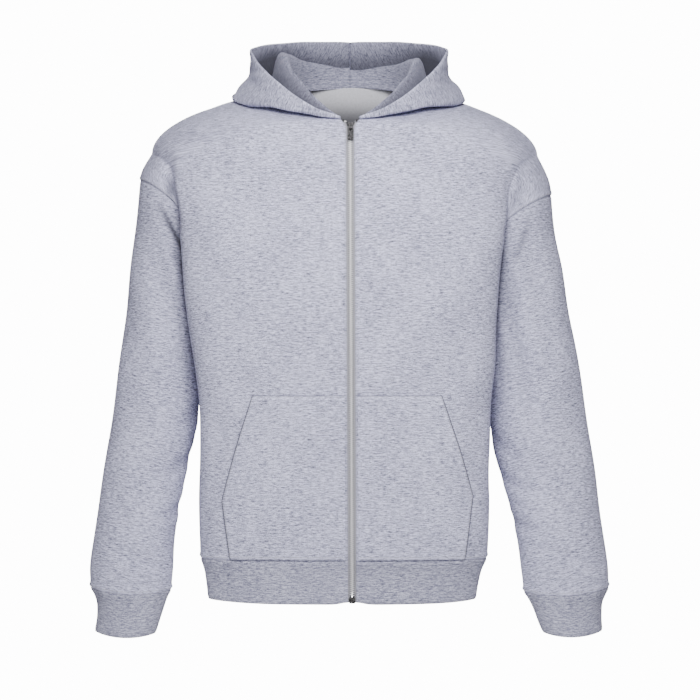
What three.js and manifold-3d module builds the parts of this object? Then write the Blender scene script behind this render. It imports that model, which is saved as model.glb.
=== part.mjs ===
// A zip-up hoodie in brushed fleece, filled out as it is worn, as a three.js scene graph.
// Millimetres. +X is the wearer's left, +Y is the back and +Z is up.
// The origin is the middle of the neck, level with the tops of the shoulders.
import * as THREE from "three";
import { mergeVertices } from "three/addons/utils/BufferGeometryUtils.js";
import Module from "manifold-3d";

const wasm = await Module();
wasm.setup();

// Cloth thicknesses and the gap left between sewn pieces
const FLEECE = 2.0;
const RIB_KNIT = 2.4;
const HOOD_CLOTH = 2.6; // outer hood and its self lining, lying face to face
const ZIP_TAPE = 0.8;
const SEAM_GAP = 0.34;
const CREASE_GAP = 1.6; // between two pieces that lie side by side below a sharp seam

// Where one piece ends and the next begins, measured up from the neck
const HEM_EDGE_Z = -711;
const HEM_SIDE_RISE = 5; // how much higher the hem edge is at the sides
const HEM_RISE_LATE = 4; // and how late it rises on its way there
const HEM_SEAM_Z = -650;
const UNDERARM_Z = -234;
const FRONT_NECK_Z = -48;
const NECK = {
  halfWidth: 88,
  y: 5,
  z: -12,
  frontReach: 93,
  backReach: 77,
  backRise: 22,
  frontSweep: 1.2, // over 1 holds the seam high at the sides and drops it late
};

// The two front edges stand either side of the zip, and part above the slider
const ZIP_HALF_GAP = 5.6;
const ZIP_PART_HALF_GAP = 13;
const ZIP_PART_Z = -62;
const ZIP_LEAN = 3; // how far the zip drifts to the wearer's left on its way down

// Body sections from the hem up to the underarm. wide is the half width of the front roll,
// dent is how far the arm presses the side seam in, front and back are the depths.
const BODY_SECTIONS = [
  { z: -711, wideRight: 195, wideLeft: 173, dent: 2, front: 124, back: 112 },
  { z: -690, wideRight: 197, wideLeft: 176, dent: 2, front: 127, back: 115 },
  { z: -668, wideRight: 200, wideLeft: 181, dent: 2, front: 132, back: 119 },
  { z: -650, wideRight: 205, wideLeft: 187, dent: 2, front: 137, back: 123 },
  { z: -620, wideRight: 207, wideLeft: 190, dent: 2, front: 140, back: 125 },
  { z: -560, wideRight: 207, wideLeft: 191, dent: 3, front: 137, back: 121 },
  { z: -497, wideRight: 205, wideLeft: 192, dent: 6, front: 136, back: 118 },
  { z: -450, wideRight: 206, wideLeft: 193, dent: 11, front: 137, back: 118 },
  { z: -400, wideRight: 211, wideLeft: 197, dent: 23, front: 139, back: 120 },
  { z: -330, wideRight: 221, wideLeft: 201, dent: 36, front: 142, back: 125 },
  { z: -280, wideRight: 228, wideLeft: 205, dent: 44, front: 142, back: 129 },
  { z: -234, wideRight: 231, wideLeft: 209, dent: 44, front: 140, back: 131 },
];
const FRONT_ROLL_Y = -64;
const BACK_ROLL_Y = 92;
const SIDE_SEAM_Y = 18;
const BODY_SQUARE = 0.77; // under 1 makes a section squarer than an ellipse
const RETURN = { inward: 0.65, back: 1.3 }; // how early a row turns in past its roll, and goes back
const UNDERARM_BLEND = 40; // the height over which the side seam runs into the underarm point

// The chest and the back above the underarm, up their centre lines
const CHEST_LINE = [
  { z: -234, y: -140 },
  { z: -180, y: -136 },
  { z: -125, y: -125 },
  { z: -80, y: -108 },
  { z: -48, y: -88 },
];
const BACK_LINE = [
  { z: -234, y: 131 },
  { z: -170, y: 131 },
  { z: -110, y: 126 },
  { z: -55, y: 112 },
  { z: -15, y: 94 },
  { z: 10, y: 82 },
];

// The rolls that run from the armpit up into the shoulder, by share of the way up the armhole
const SHOULDER_ROLL = [
  { up: 0.0, out: 0, frontY: -64, backY: 92, z: 0 },
  { up: 0.25, out: 0.08, frontY: -68, backY: 94, z: 0.31 },
  { up: 0.5, out: 0.18, frontY: -66, backY: 86, z: 0.63 },
  { up: 0.75, out: 0.5, frontY: -42, backY: 54, z: 0.88 },
  { up: 1.0, out: 1.0, frontY: 6, backY: 6, z: 1.0 },
];

// Each side: the drop-shoulder seam's top point, the underarm point, and the sleeve's sections.
// out and inn are the sleeve's outer and inner edges as (x, z), y its middle, deep its half depth.
const SIDES = {
  right: {
    sign: -1,
    wide: "wideRight",
    shoulder: { x: 293, y: 8, z: -127 },
    shoulderRoll: { x: 277, z: -88, square: 1.05 },
    underarm: { x: 187, y: 18, z: UNDERARM_Z },
    seamDepth: 71,
    seamBow: 17,
    sleeve: [
      { outX: 301, outZ: -196, inX: 197, inZ: -262, y: 17, deep: 66 },
      { outX: 307, outZ: -246, inX: 200, inZ: -290, y: 18, deep: 62 },
      { outX: 313, outZ: -306, inX: 201, inZ: -330, y: 18, deep: 59 },
      { outX: 322, outZ: -376, inX: 206, inZ: -385, y: 17, deep: 58 },
      { outX: 333, outZ: -459, inX: 214, inZ: -462, y: 12, deep: 57 },
      { outX: 342, outZ: -520, inX: 228, inZ: -522, y: 5, deep: 55 },
      { outX: 351, outZ: -581, inX: 239, inZ: -584, y: -4, deep: 52 },
      { outX: 357, outZ: -626, inX: 246, inZ: -630, y: -11, deep: 50 },
      { outX: 361, outZ: -664, inX: 248, inZ: -668, y: -17, deep: 48 },
      { outX: 360, outZ: -694, inX: 250, inZ: -697, y: -21, deep: 45 },
    ],
    cuff: [
      { outX: 355, outZ: -703, inX: 255, inZ: -707, y: -23, deep: 42 },
      { outX: 351, outZ: -716, inX: 260, inZ: -722, y: -25, deep: 39 },
      { outX: 351, outZ: -736, inX: 266, inZ: -741, y: -28, deep: 37 },
      { outX: 354, outZ: -754, inX: 271, inZ: -757, y: -31, deep: 36 },
    ],
    pocket: { topX: 132, topZ: -426, cornerX: 174, cornerZ: -570, baseX: 163 },
    hood: { crest: 1, reach: 1 },
  },
  left: {
    sign: 1,
    wide: "wideLeft",
    shoulder: { x: 281, y: 8, z: -148 },
    shoulderRoll: { x: 262, z: -90, square: 1.15 },
    underarm: { x: 167, y: 18, z: UNDERARM_Z },
    seamDepth: 71,
    seamBow: 12,
    sleeve: [
      { outX: 288, outZ: -206, inX: 179, inZ: -264, y: 17, deep: 67 },
      { outX: 297, outZ: -250, inX: 184, inZ: -292, y: 18, deep: 63 },
      { outX: 306, outZ: -306, inX: 184, inZ: -330, y: 18, deep: 60 },
      { outX: 319, outZ: -376, inX: 190, inZ: -388, y: 17, deep: 59 },
      { outX: 333, outZ: -470, inX: 198, inZ: -478, y: 12, deep: 58 },
      { outX: 342, outZ: -532, inX: 213, inZ: -540, y: 5, deep: 56 },
      { outX: 348, outZ: -582, inX: 225, inZ: -586, y: -4, deep: 53 },
      { outX: 354, outZ: -628, inX: 235, inZ: -632, y: -11, deep: 51 },
      { outX: 358, outZ: -664, inX: 240, inZ: -670, y: -17, deep: 48 },
      { outX: 359, outZ: -694, inX: 243, inZ: -700, y: -21, deep: 45 },
    ],
    cuff: [
      { outX: 355, outZ: -703, inX: 249, inZ: -709, y: -23, deep: 42 },
      { outX: 350, outZ: -716, inX: 256, inZ: -723, y: -25, deep: 39 },
      { outX: 349, outZ: -737, inX: 263, inZ: -742, y: -28, deep: 37 },
      { outX: 350, outZ: -753, inX: 269, inZ: -756, y: -31, deep: 36 },
    ],
    pocket: { topX: 124, topZ: -426, cornerX: 167, cornerZ: -563, baseX: 156 },
    hood: { crest: 0.88, reach: 0.95 },
  },
};

// The hood lying back, as sections round the neck seam from the zip (0) to the nape (1).
// Each section goes [out, up] from the seam: crest of the stand, groove, fold on the shoulder
// or foot of the pouch, back of the pouch, and the face edge.
const HOOD_SECTIONS = [
  { round: 0.0, crest: [0, 3], groove: [1.6, 4.6], fold: [3.3, 4], back: [4.2, 5.5], edge: [5, 7] },
  { round: 0.14, crest: [0, 22], groove: [8, 8], fold: [17, 2], back: [19, 7], edge: [15, 14] },
  { round: 0.3, crest: [1, 45], groove: [14, 15], fold: [42, 2], back: [39, 19], edge: [29, 36] },
  { round: 0.5, crest: [3, 62], groove: [26, 15], fold: [73, -8], back: [51, 29], edge: [51, 65] },
  { round: 0.62, crest: [3, 55], groove: [34, 16], fold: [78, 10], back: [66, 30], edge: [55, 70] },
  { round: 0.69, crest: [4, 47], groove: [41, 12], fold: [104, -36], back: [92, 4], edge: [49, 71] },
  { round: 0.78, crest: [4, 38], groove: [42, -16], fold: [92, -110], back: [104, -20], edge: [42, 71] },
  { round: 0.9, crest: [6, 29], groove: [47, -52], fold: [80, -150], back: [103, -46], edge: [31, 69] },
  { round: 1.0, crest: [7, 26], groove: [50, -70], fold: [72, -163], back: [102, -60], edge: [26, 67] },
];
const HOOD_KEYS = ["crest", "groove", "fold", "back", "edge"];
// The least distance from the middle of the body's cloth to the hood's, by the shoulder and behind
const HOOD_LAY_GAP = { side: 5.5, behind: 14 };
const HOOD_LAY_REACH = 25; // how far from the neck seam it is reached
const HOOD_TILT_BACK = 10; // degrees that the sections at the side of the neck lean to the back
const HOOD_BEHIND = { from: 0.5, over: 0.12 }; // where, round the seam, the gap behind takes over

// Soft folds pressed into the sleeves: round is in degrees from the outside towards the front
const SLEEVE_FOLDS = [
  { side: "right", fromRound: 92, fromDown: 0.05, toRound: 142, toDown: 0.27, deep: 7, wide: 13 },
  { side: "left", fromRound: 120, fromDown: 0.1, toRound: 100, toDown: 0.52, deep: 6, wide: 14 },
  { side: "right", fromRound: 235, fromDown: 0.06, toRound: 205, toDown: 0.3, deep: 6, wide: 14 },
  { side: "left", fromRound: 240, fromDown: 0.08, toRound: 215, toDown: 0.34, deep: 6, wide: 14 },
  { side: "right", fromRound: 60, fromDown: 0.82, toRound: 150, toDown: 0.9, deep: 3, wide: 12 },
  { side: "left", fromRound: 40, fromDown: 0.9, toRound: 130, toDown: 0.8, deep: 3, wide: 12 },
];
const FOLD_SCALE = { round: 1.15, down: 560 }; // millimetres a degree, and down the whole sleeve
const FOLD_TAPER = 0.12; // how shallow a fold starts and ends, as a share of a half turn
const BOW_SHARE = 0.25; // the part of the sleeve, at each end, that takes up its seam's bow

// How finely each piece is divided
const ROWS_BELOW_UNDERARM = 8;
const UP_TO_NECK = [0, 0.19, 0.38, 0.57, 0.76, 0.925, 1]; // rows that still reach the zip
const ROWS_PAST_NECK = 8; // and the rows that end on the neck seam
const NECK_LEVEL = 0.55; // the share of the armhole's height where the first of these begins
const ARC_STEPS = 10;
const RETURN_STEPS = 4;
const ARC_SHARE = 0.76; // of a row, from the centre line to the roll
const SLEEVE_RINGS = 12;
const CUFF_RINGS = 3;
const HEM_ROWS = 3;
const POCKET_COLUMNS = 8;
const POCKET_ROWS = 9;
const HOOD_STEPS = [4, 4, 4, 4, 5]; // between the key lines of a hood section

const rad = THREE.MathUtils.degToRad;
const mix = (a, b, t) => a + (b - a) * t;
const smooth = (t) => (1 - Math.cos(Math.PI * t)) / 2;
const steps = (n) => Array.from({ length: n + 1 }, (_, i) => i / n);
const vec = (x, y, z) => new THREE.Vector3(x, y, z);

// One column of a table as a smooth curve of another column, which rises down the table
function curveOf(rows, by, column) {
  const slope = (i) => {
    const a = rows[Math.max(i - 1, 0)];
    const b = rows[Math.min(i + 1, rows.length - 1)];
    return (b[column] - a[column]) / (b[by] - a[by]);
  };
  return (at) => {
    let i = 0;
    while (i < rows.length - 2 && at > rows[i + 1][by]) i += 1;
    const span = rows[i + 1][by] - rows[i][by];
    const t = THREE.MathUtils.clamp((at - rows[i][by]) / span, 0, 1);
    const [t2, t3] = [t * t, t * t * t];
    return (
      rows[i][column] * (2 * t3 - 3 * t2 + 1) +
      slope(i) * span * (t3 - 2 * t2 + t) +
      rows[i + 1][column] * (3 * t2 - 2 * t3) +
      slope(i + 1) * span * (t3 - t2)
    );
  };
}

// All the named columns of a table at once
function sectionOf(rows, by) {
  const columns = Object.keys(rows[0]).filter((name) => name !== by);
  const curves = columns.map((name) => curveOf(rows, by, name));
  return (at) => Object.fromEntries(columns.map((name, i) => [name, curves[i](at)]));
}

const bodySection = sectionOf(BODY_SECTIONS, "z");
const chestY = curveOf(CHEST_LINE, "z", "y");
const backY = curveOf(BACK_LINE, "z", "y");
const shoulderRoll = sectionOf(SHOULDER_ROLL, "up");
const hoodCurves = HOOD_KEYS.map((key) =>
  [0, 1].map((part) => {
    const rows = HOOD_SECTIONS.map((row) => ({ round: row.round, value: row[key][part] }));
    return curveOf(rows, "round", "value");
  }),
);

// Half of the gap between the front edges at a height
function zipHalfGap(z) {
  const t = THREE.MathUtils.clamp((z - ZIP_PART_Z) / (FRONT_NECK_Z - ZIP_PART_Z), 0, 1);
  return mix(ZIP_HALF_GAP, ZIP_PART_HALF_GAP, t * t);
}

const zipX = (z) => (ZIP_LEAN * (FRONT_NECK_Z - z)) / (FRONT_NECK_Z - HEM_EDGE_Z);
const frontLineY = (z) => (z > UNDERARM_Z ? chestY(z) : -bodySection(z).front);

// The neck seam: turn is 0 at the front and 180 degrees at the nape
function neckPoint(side, turn) {
  const [s, c] = [Math.sin(turn), Math.cos(turn)];
  const reach = c > 0 ? -NECK.frontReach * c : -NECK.backReach * c;
  const rise = c > 0 ? (FRONT_NECK_Z - NECK.z) * c ** NECK.frontSweep : NECK.backRise * -c;
  return vec(side.sign * NECK.halfWidth * s, NECK.y + reach, NECK.z + rise);
}

const FRONT_NECK_TURN = Math.asin(ZIP_PART_HALF_GAP / NECK.halfWidth);

// The drop-shoulder seam: turn is 0 at the shoulder point and 180 degrees under the arm
function armholePoint(side, turn, facing) {
  const { shoulder: top, underarm: low } = side;
  const share = (1 + Math.cos(turn)) / 2;
  const across = Math.sin(turn);
  return vec(
    side.sign * mix(low.x, top.x, share),
    mix(low.y, top.y, share) + facing * side.seamDepth * across,
    mix(low.z, top.z, share) + side.seamBow * across * across,
  );
}

// The three lines that every row of a body panel is drawn through: the centre line or
// neckline, the roll beside the arm, and the side seam or armhole. facing is -1 for the front.
function rowLines(side, level, facing) {
  if (level <= 0) {
    const z = mix(UNDERARM_Z, HEM_SEAM_Z, -level);
    return lowerLines(side, z, facing);
  }
  const front = facing < 0;
  const topZ = front ? FRONT_NECK_Z : NECK.z + NECK.backRise;
  let start;
  if (level <= NECK_LEVEL) {
    const z = mix(UNDERARM_Z, topZ, level / NECK_LEVEL);
    start = vec(front ? zipX(z) + side.sign * zipHalfGap(z) : 0, front ? chestY(z) : backY(z), z);
  }
  if (level >= NECK_LEVEL) {
    const share = (level - NECK_LEVEL) / (1 - NECK_LEVEL);
    const from = front ? FRONT_NECK_TURN : Math.PI;
    start = neckPoint(side, mix(from, Math.PI / 2, share));
  }
  const roll = shoulderRoll(level);
  const top = side.shoulderRoll;
  return {
    start,
    roll: vec(
      side.sign * mix(BODY_SECTIONS.at(-1)[side.wide], top.x, roll.out),
      front ? roll.frontY : roll.backY,
      mix(UNDERARM_Z, top.z, roll.z),
    ),
    end: armholePoint(side, Math.PI * (1 - level), facing),
    square: mix(BODY_SQUARE, top.square, level),
  };
}

function lowerLines(side, z, facing) {
  const section = bodySection(z);
  const front = facing < 0;
  const topSection = BODY_SECTIONS.at(-1);
  const toUnderarm = side.underarm.x - (topSection[side.wide] - topSection.dent);
  const nearUnderarm = THREE.MathUtils.clamp(1 - (UNDERARM_Z - z) / UNDERARM_BLEND, 0, 1);
  const seamX = section[side.wide] - section.dent + toUnderarm * nearUnderarm;
  return {
    start: vec(
      front ? zipX(z) + side.sign * ZIP_HALF_GAP : 0,
      front ? -section.front : section.back,
      z,
    ),
    roll: vec(side.sign * section[side.wide], front ? FRONT_ROLL_Y : BACK_ROLL_Y, z),
    end: vec(side.sign * seamX, SIDE_SEAM_Y, z),
    square: BODY_SQUARE,
  };
}

// A point across a row, from its start (0) to its end (1)
function alongRow({ start, roll, end, square }, across) {
  if (across <= ARC_SHARE) {
    const turn = ((across / ARC_SHARE) * Math.PI) / 2;
    const s = Math.sin(turn) ** square;
    const c = Math.cos(turn) ** square;
    return vec(mix(start.x, roll.x, s), mix(roll.y, start.y, c), mix(roll.z, start.z, c));
  }
  const t = (across - ARC_SHARE) / (1 - ARC_SHARE);
  const inward = smooth(t ** RETURN.inward);
  const back = t ** RETURN.back;
  return vec(mix(roll.x, end.x, inward), mix(roll.y, end.y, back), mix(roll.z, end.z, t));
}

const ACROSS = [
  ...steps(ARC_STEPS).map((t) => t * ARC_SHARE),
  ...steps(RETURN_STEPS)
    .slice(1)
    .map((t) => mix(ARC_SHARE, 1, t)),
];
const ARM_LEVELS = [
  ...UP_TO_NECK.map((t) => t * NECK_LEVEL),
  ...steps(ROWS_PAST_NECK)
    .slice(1)
    .map((t) => mix(NECK_LEVEL, 1, t)),
];
const LEVELS = [...steps(ROWS_BELOW_UNDERARM).map((t) => t - 1), ...ARM_LEVELS.slice(1)];

const bodyRow = (side, level, facing) => {
  const lines = rowLines(side, level, facing);
  return ACROSS.map((across) => alongRow(lines, across));
};

const frontGrid = (side) => LEVELS.map((level) => bodyRow(side, level, -1));

// The back is one piece: full rows up to the nape, then a wing to each shoulder
function backPatches() {
  const { right, left } = SIDES;
  const full = LEVELS.filter((level) => level <= NECK_LEVEL).map((level) => [
    ...bodyRow(right, level, 1).reverse(),
    ...bodyRow(left, level, 1).slice(1),
  ]);
  const wing = LEVELS.filter((level) => level >= NECK_LEVEL);
  const rightWing = wing.map((level) => bodyRow(right, level, 1).reverse());
  const leftWing = wing.map((level) => bodyRow(left, level, 1));
  return [full, rightWing, leftWing];
}

// The hem rib is one band from zip to zip, round the back
function hemGrid() {
  return steps(HEM_ROWS).map((t) => {
    const quarter = (side, facing) => {
      const lines = lowerLines(side, mix(HEM_SEAM_Z, HEM_EDGE_Z, t), facing);
      return ACROSS.map((across) => {
        const p = alongRow(lines, across);
        p.z += t * HEM_SIDE_RISE * (p.x / lines.roll.x) ** HEM_RISE_LATE;
        return p;
      });
    };
    return [
      ...quarter(SIDES.right, -1),
      ...quarter(SIDES.right, 1).reverse().slice(1),
      ...quarter(SIDES.left, 1).slice(1),
      ...quarter(SIDES.left, -1).reverse().slice(1),
    ];
  });
}

// The turns round an arm that meet the body's rows: front from the shoulder down, then back up
const ROUND_ARM = [
  ...ARM_LEVELS.toReversed().map((level) => ({ turn: Math.PI * (1 - level), facing: -1 })),
  ...ARM_LEVELS.slice(1, -1).map((level) => ({ turn: Math.PI * (1 - level), facing: 1 })),
];

function sleeveRows(side) {
  const { shoulder: top, underarm: low } = side;
  const head = { outX: top.x, outZ: top.z, inX: low.x, inZ: low.z, y: (top.y + low.y) / 2 };
  return [{ ...head, deep: side.seamDepth }, ...side.sleeve].map((row, i) => ({ ...row, i }));
}

function foldDepth(side, round, down) {
  return SLEEVE_FOLDS.filter((fold) => SIDES[fold.side] === side).reduce((sum, fold) => {
    const place = (r, d) => ({ x: r * FOLD_SCALE.round, y: d * FOLD_SCALE.down });
    const a = place(fold.fromRound, fold.fromDown);
    const b = place(fold.toRound, fold.toDown);
    const p = place(round, down);
    const run = { x: b.x - a.x, y: b.y - a.y };
    const t = ((p.x - a.x) * run.x + (p.y - a.y) * run.y) / (run.x ** 2 + run.y ** 2);
    const held = THREE.MathUtils.clamp(t, 0, 1);
    const off = Math.hypot(p.x - a.x - held * run.x, p.y - a.y - held * run.y);
    const taper = Math.sin(Math.PI * mix(FOLD_TAPER, 1 - FOLD_TAPER, held));
    return sum + fold.deep * taper * Math.exp(-((off / fold.wide) ** 2));
  }, 0);
}

// A ring round the arm from a row of a sleeve's or cuff's table
function armRing(side, row, bow, down) {
  return ROUND_ARM.map(({ turn, facing }) => {
    const share = (1 + Math.cos(turn)) / 2;
    const across = Math.sin(turn);
    const round = THREE.MathUtils.radToDeg(facing < 0 ? turn : 2 * Math.PI - turn);
    const shrink = down > 0 ? 1 - foldDepth(side, round, down) / row.deep : 1;
    const outward = mix(row.inX, row.outX, mix(0.5, share, shrink));
    return vec(
      side.sign * outward,
      row.y + facing * row.deep * across * shrink,
      mix(row.inZ, row.outZ, share) + bow * across * across,
    );
  });
}

function sleeveGrid(side) {
  const rows = sleeveRows(side);
  const at = sectionOf(rows, "i");
  return steps(SLEEVE_RINGS).map((down) => {
    if (down === 0) {
      return ROUND_ARM.map(({ turn, facing }) => armholePoint(side, turn, facing));
    }
    const bow = side.seamBow * Math.max(0, 1 - down / BOW_SHARE) + cuffSeamDip(down);
    return armRing(side, at(down * (rows.length - 1)), bow, down);
  });
}

// The cuff seam hangs a little lower across the front and the back than at its ends
const CUFF_SEAM_DIP = -6;
const cuffSeamDip = (down) => CUFF_SEAM_DIP * Math.max(0, 1 - (1 - down) / BOW_SHARE);

function cuffGrid(side) {
  const last = { ...side.sleeve.at(-1) };
  const rows = [last, ...side.cuff].map((row, i) => ({ ...row, i }));
  const at = sectionOf(rows, "i");
  return steps(CUFF_RINGS).map((t) => armRing(side, at(t * (rows.length - 1)), CUFF_SEAM_DIP, 0));
}

// Half of the hood, with a section at each of the body's points round the neck seam
function hoodGrid(side) {
  const share = steps(ROWS_PAST_NECK);
  const turns = [
    ...share.map((t) => mix(FRONT_NECK_TURN, Math.PI / 2, t)),
    ...share.slice(1).map((t) => mix(Math.PI / 2, Math.PI, t)),
  ];
  return turns.map((turn, i) => hoodProfile(side, neckPoint(side, turn), turn, i / (turns.length - 1)));
}

// The outside of the fronts and the back, for the hood that lies over it
let bodyShell = [];
function layOverBody(bodyPieces) {
  bodyShell = bodyPieces.flatMap(({ points, normals }) =>
    points.map((point, k) => ({ point, normal: normals[k] })),
  );
}

// Moves a point out until it stands off the body by at least the gap
function clearOfBody(p, gap) {
  let nearest = bodyShell[0];
  for (const spot of bodyShell) {
    if (spot.point.distanceToSquared(p) < nearest.point.distanceToSquared(p)) nearest = spot;
  }
  const off = p.clone().sub(nearest.point).dot(nearest.normal);
  return off < gap ? p.addScaledVector(nearest.normal, gap - off) : p;
}

function hoodProfile(side, root, turn, round) {
  const lean = rad(HOOD_TILT_BACK) * Math.sin(Math.PI * round);
  const aim = turn + lean * (1 - round);
  const place = (out, up) =>
    vec(
      root.x + side.sign * Math.sin(aim) * out * side.hood.reach,
      root.y - Math.cos(aim) * out,
      root.z + up,
    );
  const keys = [root];
  hoodCurves.forEach(([out, up], i) => {
    const taller = HOOD_KEYS[i] === "crest" ? side.hood.crest : 1;
    keys.push(place(out(round), up(round) * taller));
  });
  const points = [root.clone()];
  HOOD_STEPS.forEach((count, i) => {
    const slope = (k) => {
      const a = keys[Math.max(k - 1, 0)];
      const b = keys[Math.min(k + 1, keys.length - 1)];
      const ways = [a, b].map((key) => keys[k].distanceTo(key)).filter((way) => way > 0);
      return b.clone().sub(a).normalize().multiplyScalar(Math.min(...ways));
    };
    const [a, b, da, db] = [keys[i], keys[i + 1], slope(i), slope(i + 1)];
    steps(count)
      .slice(1)
      .forEach((t) => {
        const [t2, t3] = [t * t, t * t * t];
        points.push(
          a
            .clone()
            .multiplyScalar(2 * t3 - 3 * t2 + 1)
            .addScaledVector(da, t3 - 2 * t2 + t)
            .addScaledVector(b, 3 * t2 - 2 * t3)
            .addScaledVector(db, t3 - t2),
        );
      });
  });
  return points.map((p, i) => {
    if (i <= HOOD_STEPS[0]) return p;
    const behind = THREE.MathUtils.clamp((round - HOOD_BEHIND.from) / HOOD_BEHIND.over, 0, 1);
    const near = Math.min(1, p.distanceTo(root) / HOOD_LAY_REACH);
    const gap = near * mix(HOOD_LAY_GAP.side, HOOD_LAY_GAP.behind, behind);
    return clearOfBody(clearOfBody(clearOfBody(p, gap), gap), gap);
  });
}

// The front panel's point at a width and height below the underarm
function onFront(side, x, z) {
  const lines = lowerLines(side, z, -1);
  const share = (side.sign * x - lines.start.x) / (lines.roll.x - lines.start.x);
  const turn = Math.asin(Math.min(1, share ** (1 / lines.square)));
  return alongRow(lines, (turn / (Math.PI / 2)) * ARC_SHARE);
}

// A kangaroo pocket half, laid on the front from the zip to its slanted hand opening
const POCKET_LIFT = 5; // how far the middle of the hand opening stands off the front
const POCKET_GAP = 1.1;
const POCKET_ZIP_X = 9;
const POCKET_HEM_GAP = 1.2;
const POCKET_TURN = 0.35; // how far its lift turns outward, by its outer edge
const POCKET_LIFT_LATE = 4; // over 1 keeps the lift near the opening
function pocketGrid(side) {
  const { topX, topZ, cornerX, cornerZ, baseX } = side.pocket;
  const low = HEM_SEAM_Z + POCKET_HEM_GAP;
  return steps(POCKET_ROWS).map((up) => {
    const z = mix(low, topZ, up);
    const slant = THREE.MathUtils.clamp((z - cornerZ) / (topZ - cornerZ), 0, 1);
    const below = Math.min(1, (z - low) / (cornerZ - low));
    const edge = mix(mix(baseX, cornerX, below), topX, slant);
    const open = Math.sin(Math.PI * slant);
    return steps(POCKET_COLUMNS).map((t) => {
      const on = onFront(side, mix(POCKET_ZIP_X + side.sign * zipX(z), edge, t), z);
      const normal = vec(side.sign * POCKET_TURN * t, -1, 0).normalize();
      const lift = POCKET_LIFT * open * t ** POCKET_LIFT_LATE;
      return on.addScaledVector(normal, FLEECE + POCKET_GAP + lift);
    });
  });
}

// A strip of zip tape behind a front edge: its visible part and the part sewn under the front
const TAPE_COLUMNS = [0.5, 5, 10, 15];
const TAPE_BEHIND = 2.3;
const TAPE_TOP_DROP = 1;
const TAPE_HEM_SHORT = 3;
function tapeGrid(side) {
  const edge = [
    ...LEVELS.filter((level) => level <= NECK_LEVEL).map((level) => bodyRow(side, level, -1)[0]),
    ...hemGrid().slice(1).map((row) => (side.sign < 0 ? row[0] : row.at(-1))),
  ].sort((a, b) => b.z - a.z);
  edge[0].z -= TAPE_TOP_DROP;
  edge.at(-1).z += TAPE_HEM_SHORT;
  return edge.map((p) => {
    return TAPE_COLUMNS.map((x) =>
      vec(p.x + side.sign * (x - ZIP_HALF_GAP), p.y + TAPE_BEHIND, p.z),
    );
  });
}

// Every cloth piece waits here as its points and the quads between them, wound to face out
const pieces = [];
const SAME_POINT = 0.02; // points closer than this are one
const keyOf = (p) => [p.x, p.y, p.z].map((c) => Math.round(c / SAME_POINT)).join(",");
function cloth(name, patches, options) {
  const { closed = false, thick = FLEECE, flip = false, material, sewn = true } = options;
  const points = [];
  const known = new Map();
  const indexOf = (p) => {
    const key = keyOf(p);
    if (!known.has(key)) known.set(key, points.push(p) - 1);
    return known.get(key);
  };
  const quads = [];
  for (const grid of patches) {
    const rows = grid.map((row) => row.map(indexOf));
    const across = closed ? rows[0].length : rows[0].length - 1;
    for (let i = 0; i < rows.length - 1; i += 1) {
      for (let j = 0; j < across; j += 1) {
        const k = (j + 1) % rows[0].length;
        const quad = [rows[i][j], rows[i][k], rows[i + 1][k], rows[i + 1][j]];
        quads.push(flip ? quad.reverse() : quad);
      }
    }
  }
  pieces.push({ name, points, quads, thick, material, sewn, ...edgesAndNormals(points, quads) });
}

// The open edges of a piece, each run with the cloth on its left, and a normal at each point
function edgesAndNormals(points, quads) {
  const normals = points.map(() => vec(0, 0, 0));
  const sides = new Map();
  for (const quad of quads) {
    const [a, b, c, d] = quad.map((k) => points[k]);
    const normal = c.clone().sub(a).cross(d.clone().sub(b));
    quad.forEach((from, i) => {
      const to = quad[(i + 1) % 4];
      normals[from].add(normal);
      sides.set(`${from}_${to}`, [from, to]);
    });
  }
  normals.forEach((normal) => normal.normalize());
  const edges = [...sides.values()].filter(([from, to]) => !sides.has(`${to}_${from}`));
  return { normals, edges };
}

// Pieces that meet flat at a seam share the normal there, so their edges stand face to face.
// Where they meet in a sharp crease they lie side by side instead, each moved away from the other.
function meetAtSeams() {
  const met = new Map();
  for (const piece of pieces.filter((one) => one.sewn)) {
    for (const [k] of piece.edges) {
      const key = keyOf(piece.points[k]);
      if (!met.has(key)) met.set(key, []);
      met.get(key).push({ piece, k, own: piece.normals[k].clone() });
    }
  }
  for (const group of met.values()) {
    for (const { piece, k, own } of group) {
      const creases = group.map((other) => creaseOf(own.dot(other.own)));
      piece.normals[k] = vec(0, 0, 0);
      group.forEach((other, i) => piece.normals[k].addScaledVector(other.own, 1 - creases[i]));
      piece.normals[k].normalize();
      const away = (Math.max(...creases) * (piece.thick + CREASE_GAP)) / 2;
      piece.points[k] = piece.points[k].clone().addScaledVector(own, -away);
    }
  }
}

// How sharply two pieces crease, from the cosine between their normals: 0 is flat, 1 is folded
const CREASE = { from: 0.5, full: -0.1 };
const creaseOf = (cosine) =>
  THREE.MathUtils.clamp((CREASE.from - cosine) / (CREASE.from - CREASE.full), 0, 1);

// Each open edge is drawn back into its piece by half of the seam gap
const CORNER_LEAST = 0.5; // keeps the sharpest corners from being drawn back too far
function drawnBack({ points, normals, edges }) {
  const inward = new Map();
  for (const [from, to] of edges) {
    for (const k of [from, to]) {
      const way = normals[k].clone().cross(points[to].clone().sub(points[from])).normalize();
      if (!inward.has(k)) inward.set(k, []);
      inward.get(k).push(way);
    }
  }
  return points.map((p, k) => {
    if (!inward.has(k)) return p.clone();
    const [a, b] = inward.get(k);
    const shared = a.clone().add(b).normalize();
    const squareness = Math.max(CORNER_LEAST, shared.dot(a));
    return p.clone().addScaledVector(shared, SEAM_GAP / 2 / squareness);
  });
}

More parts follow.
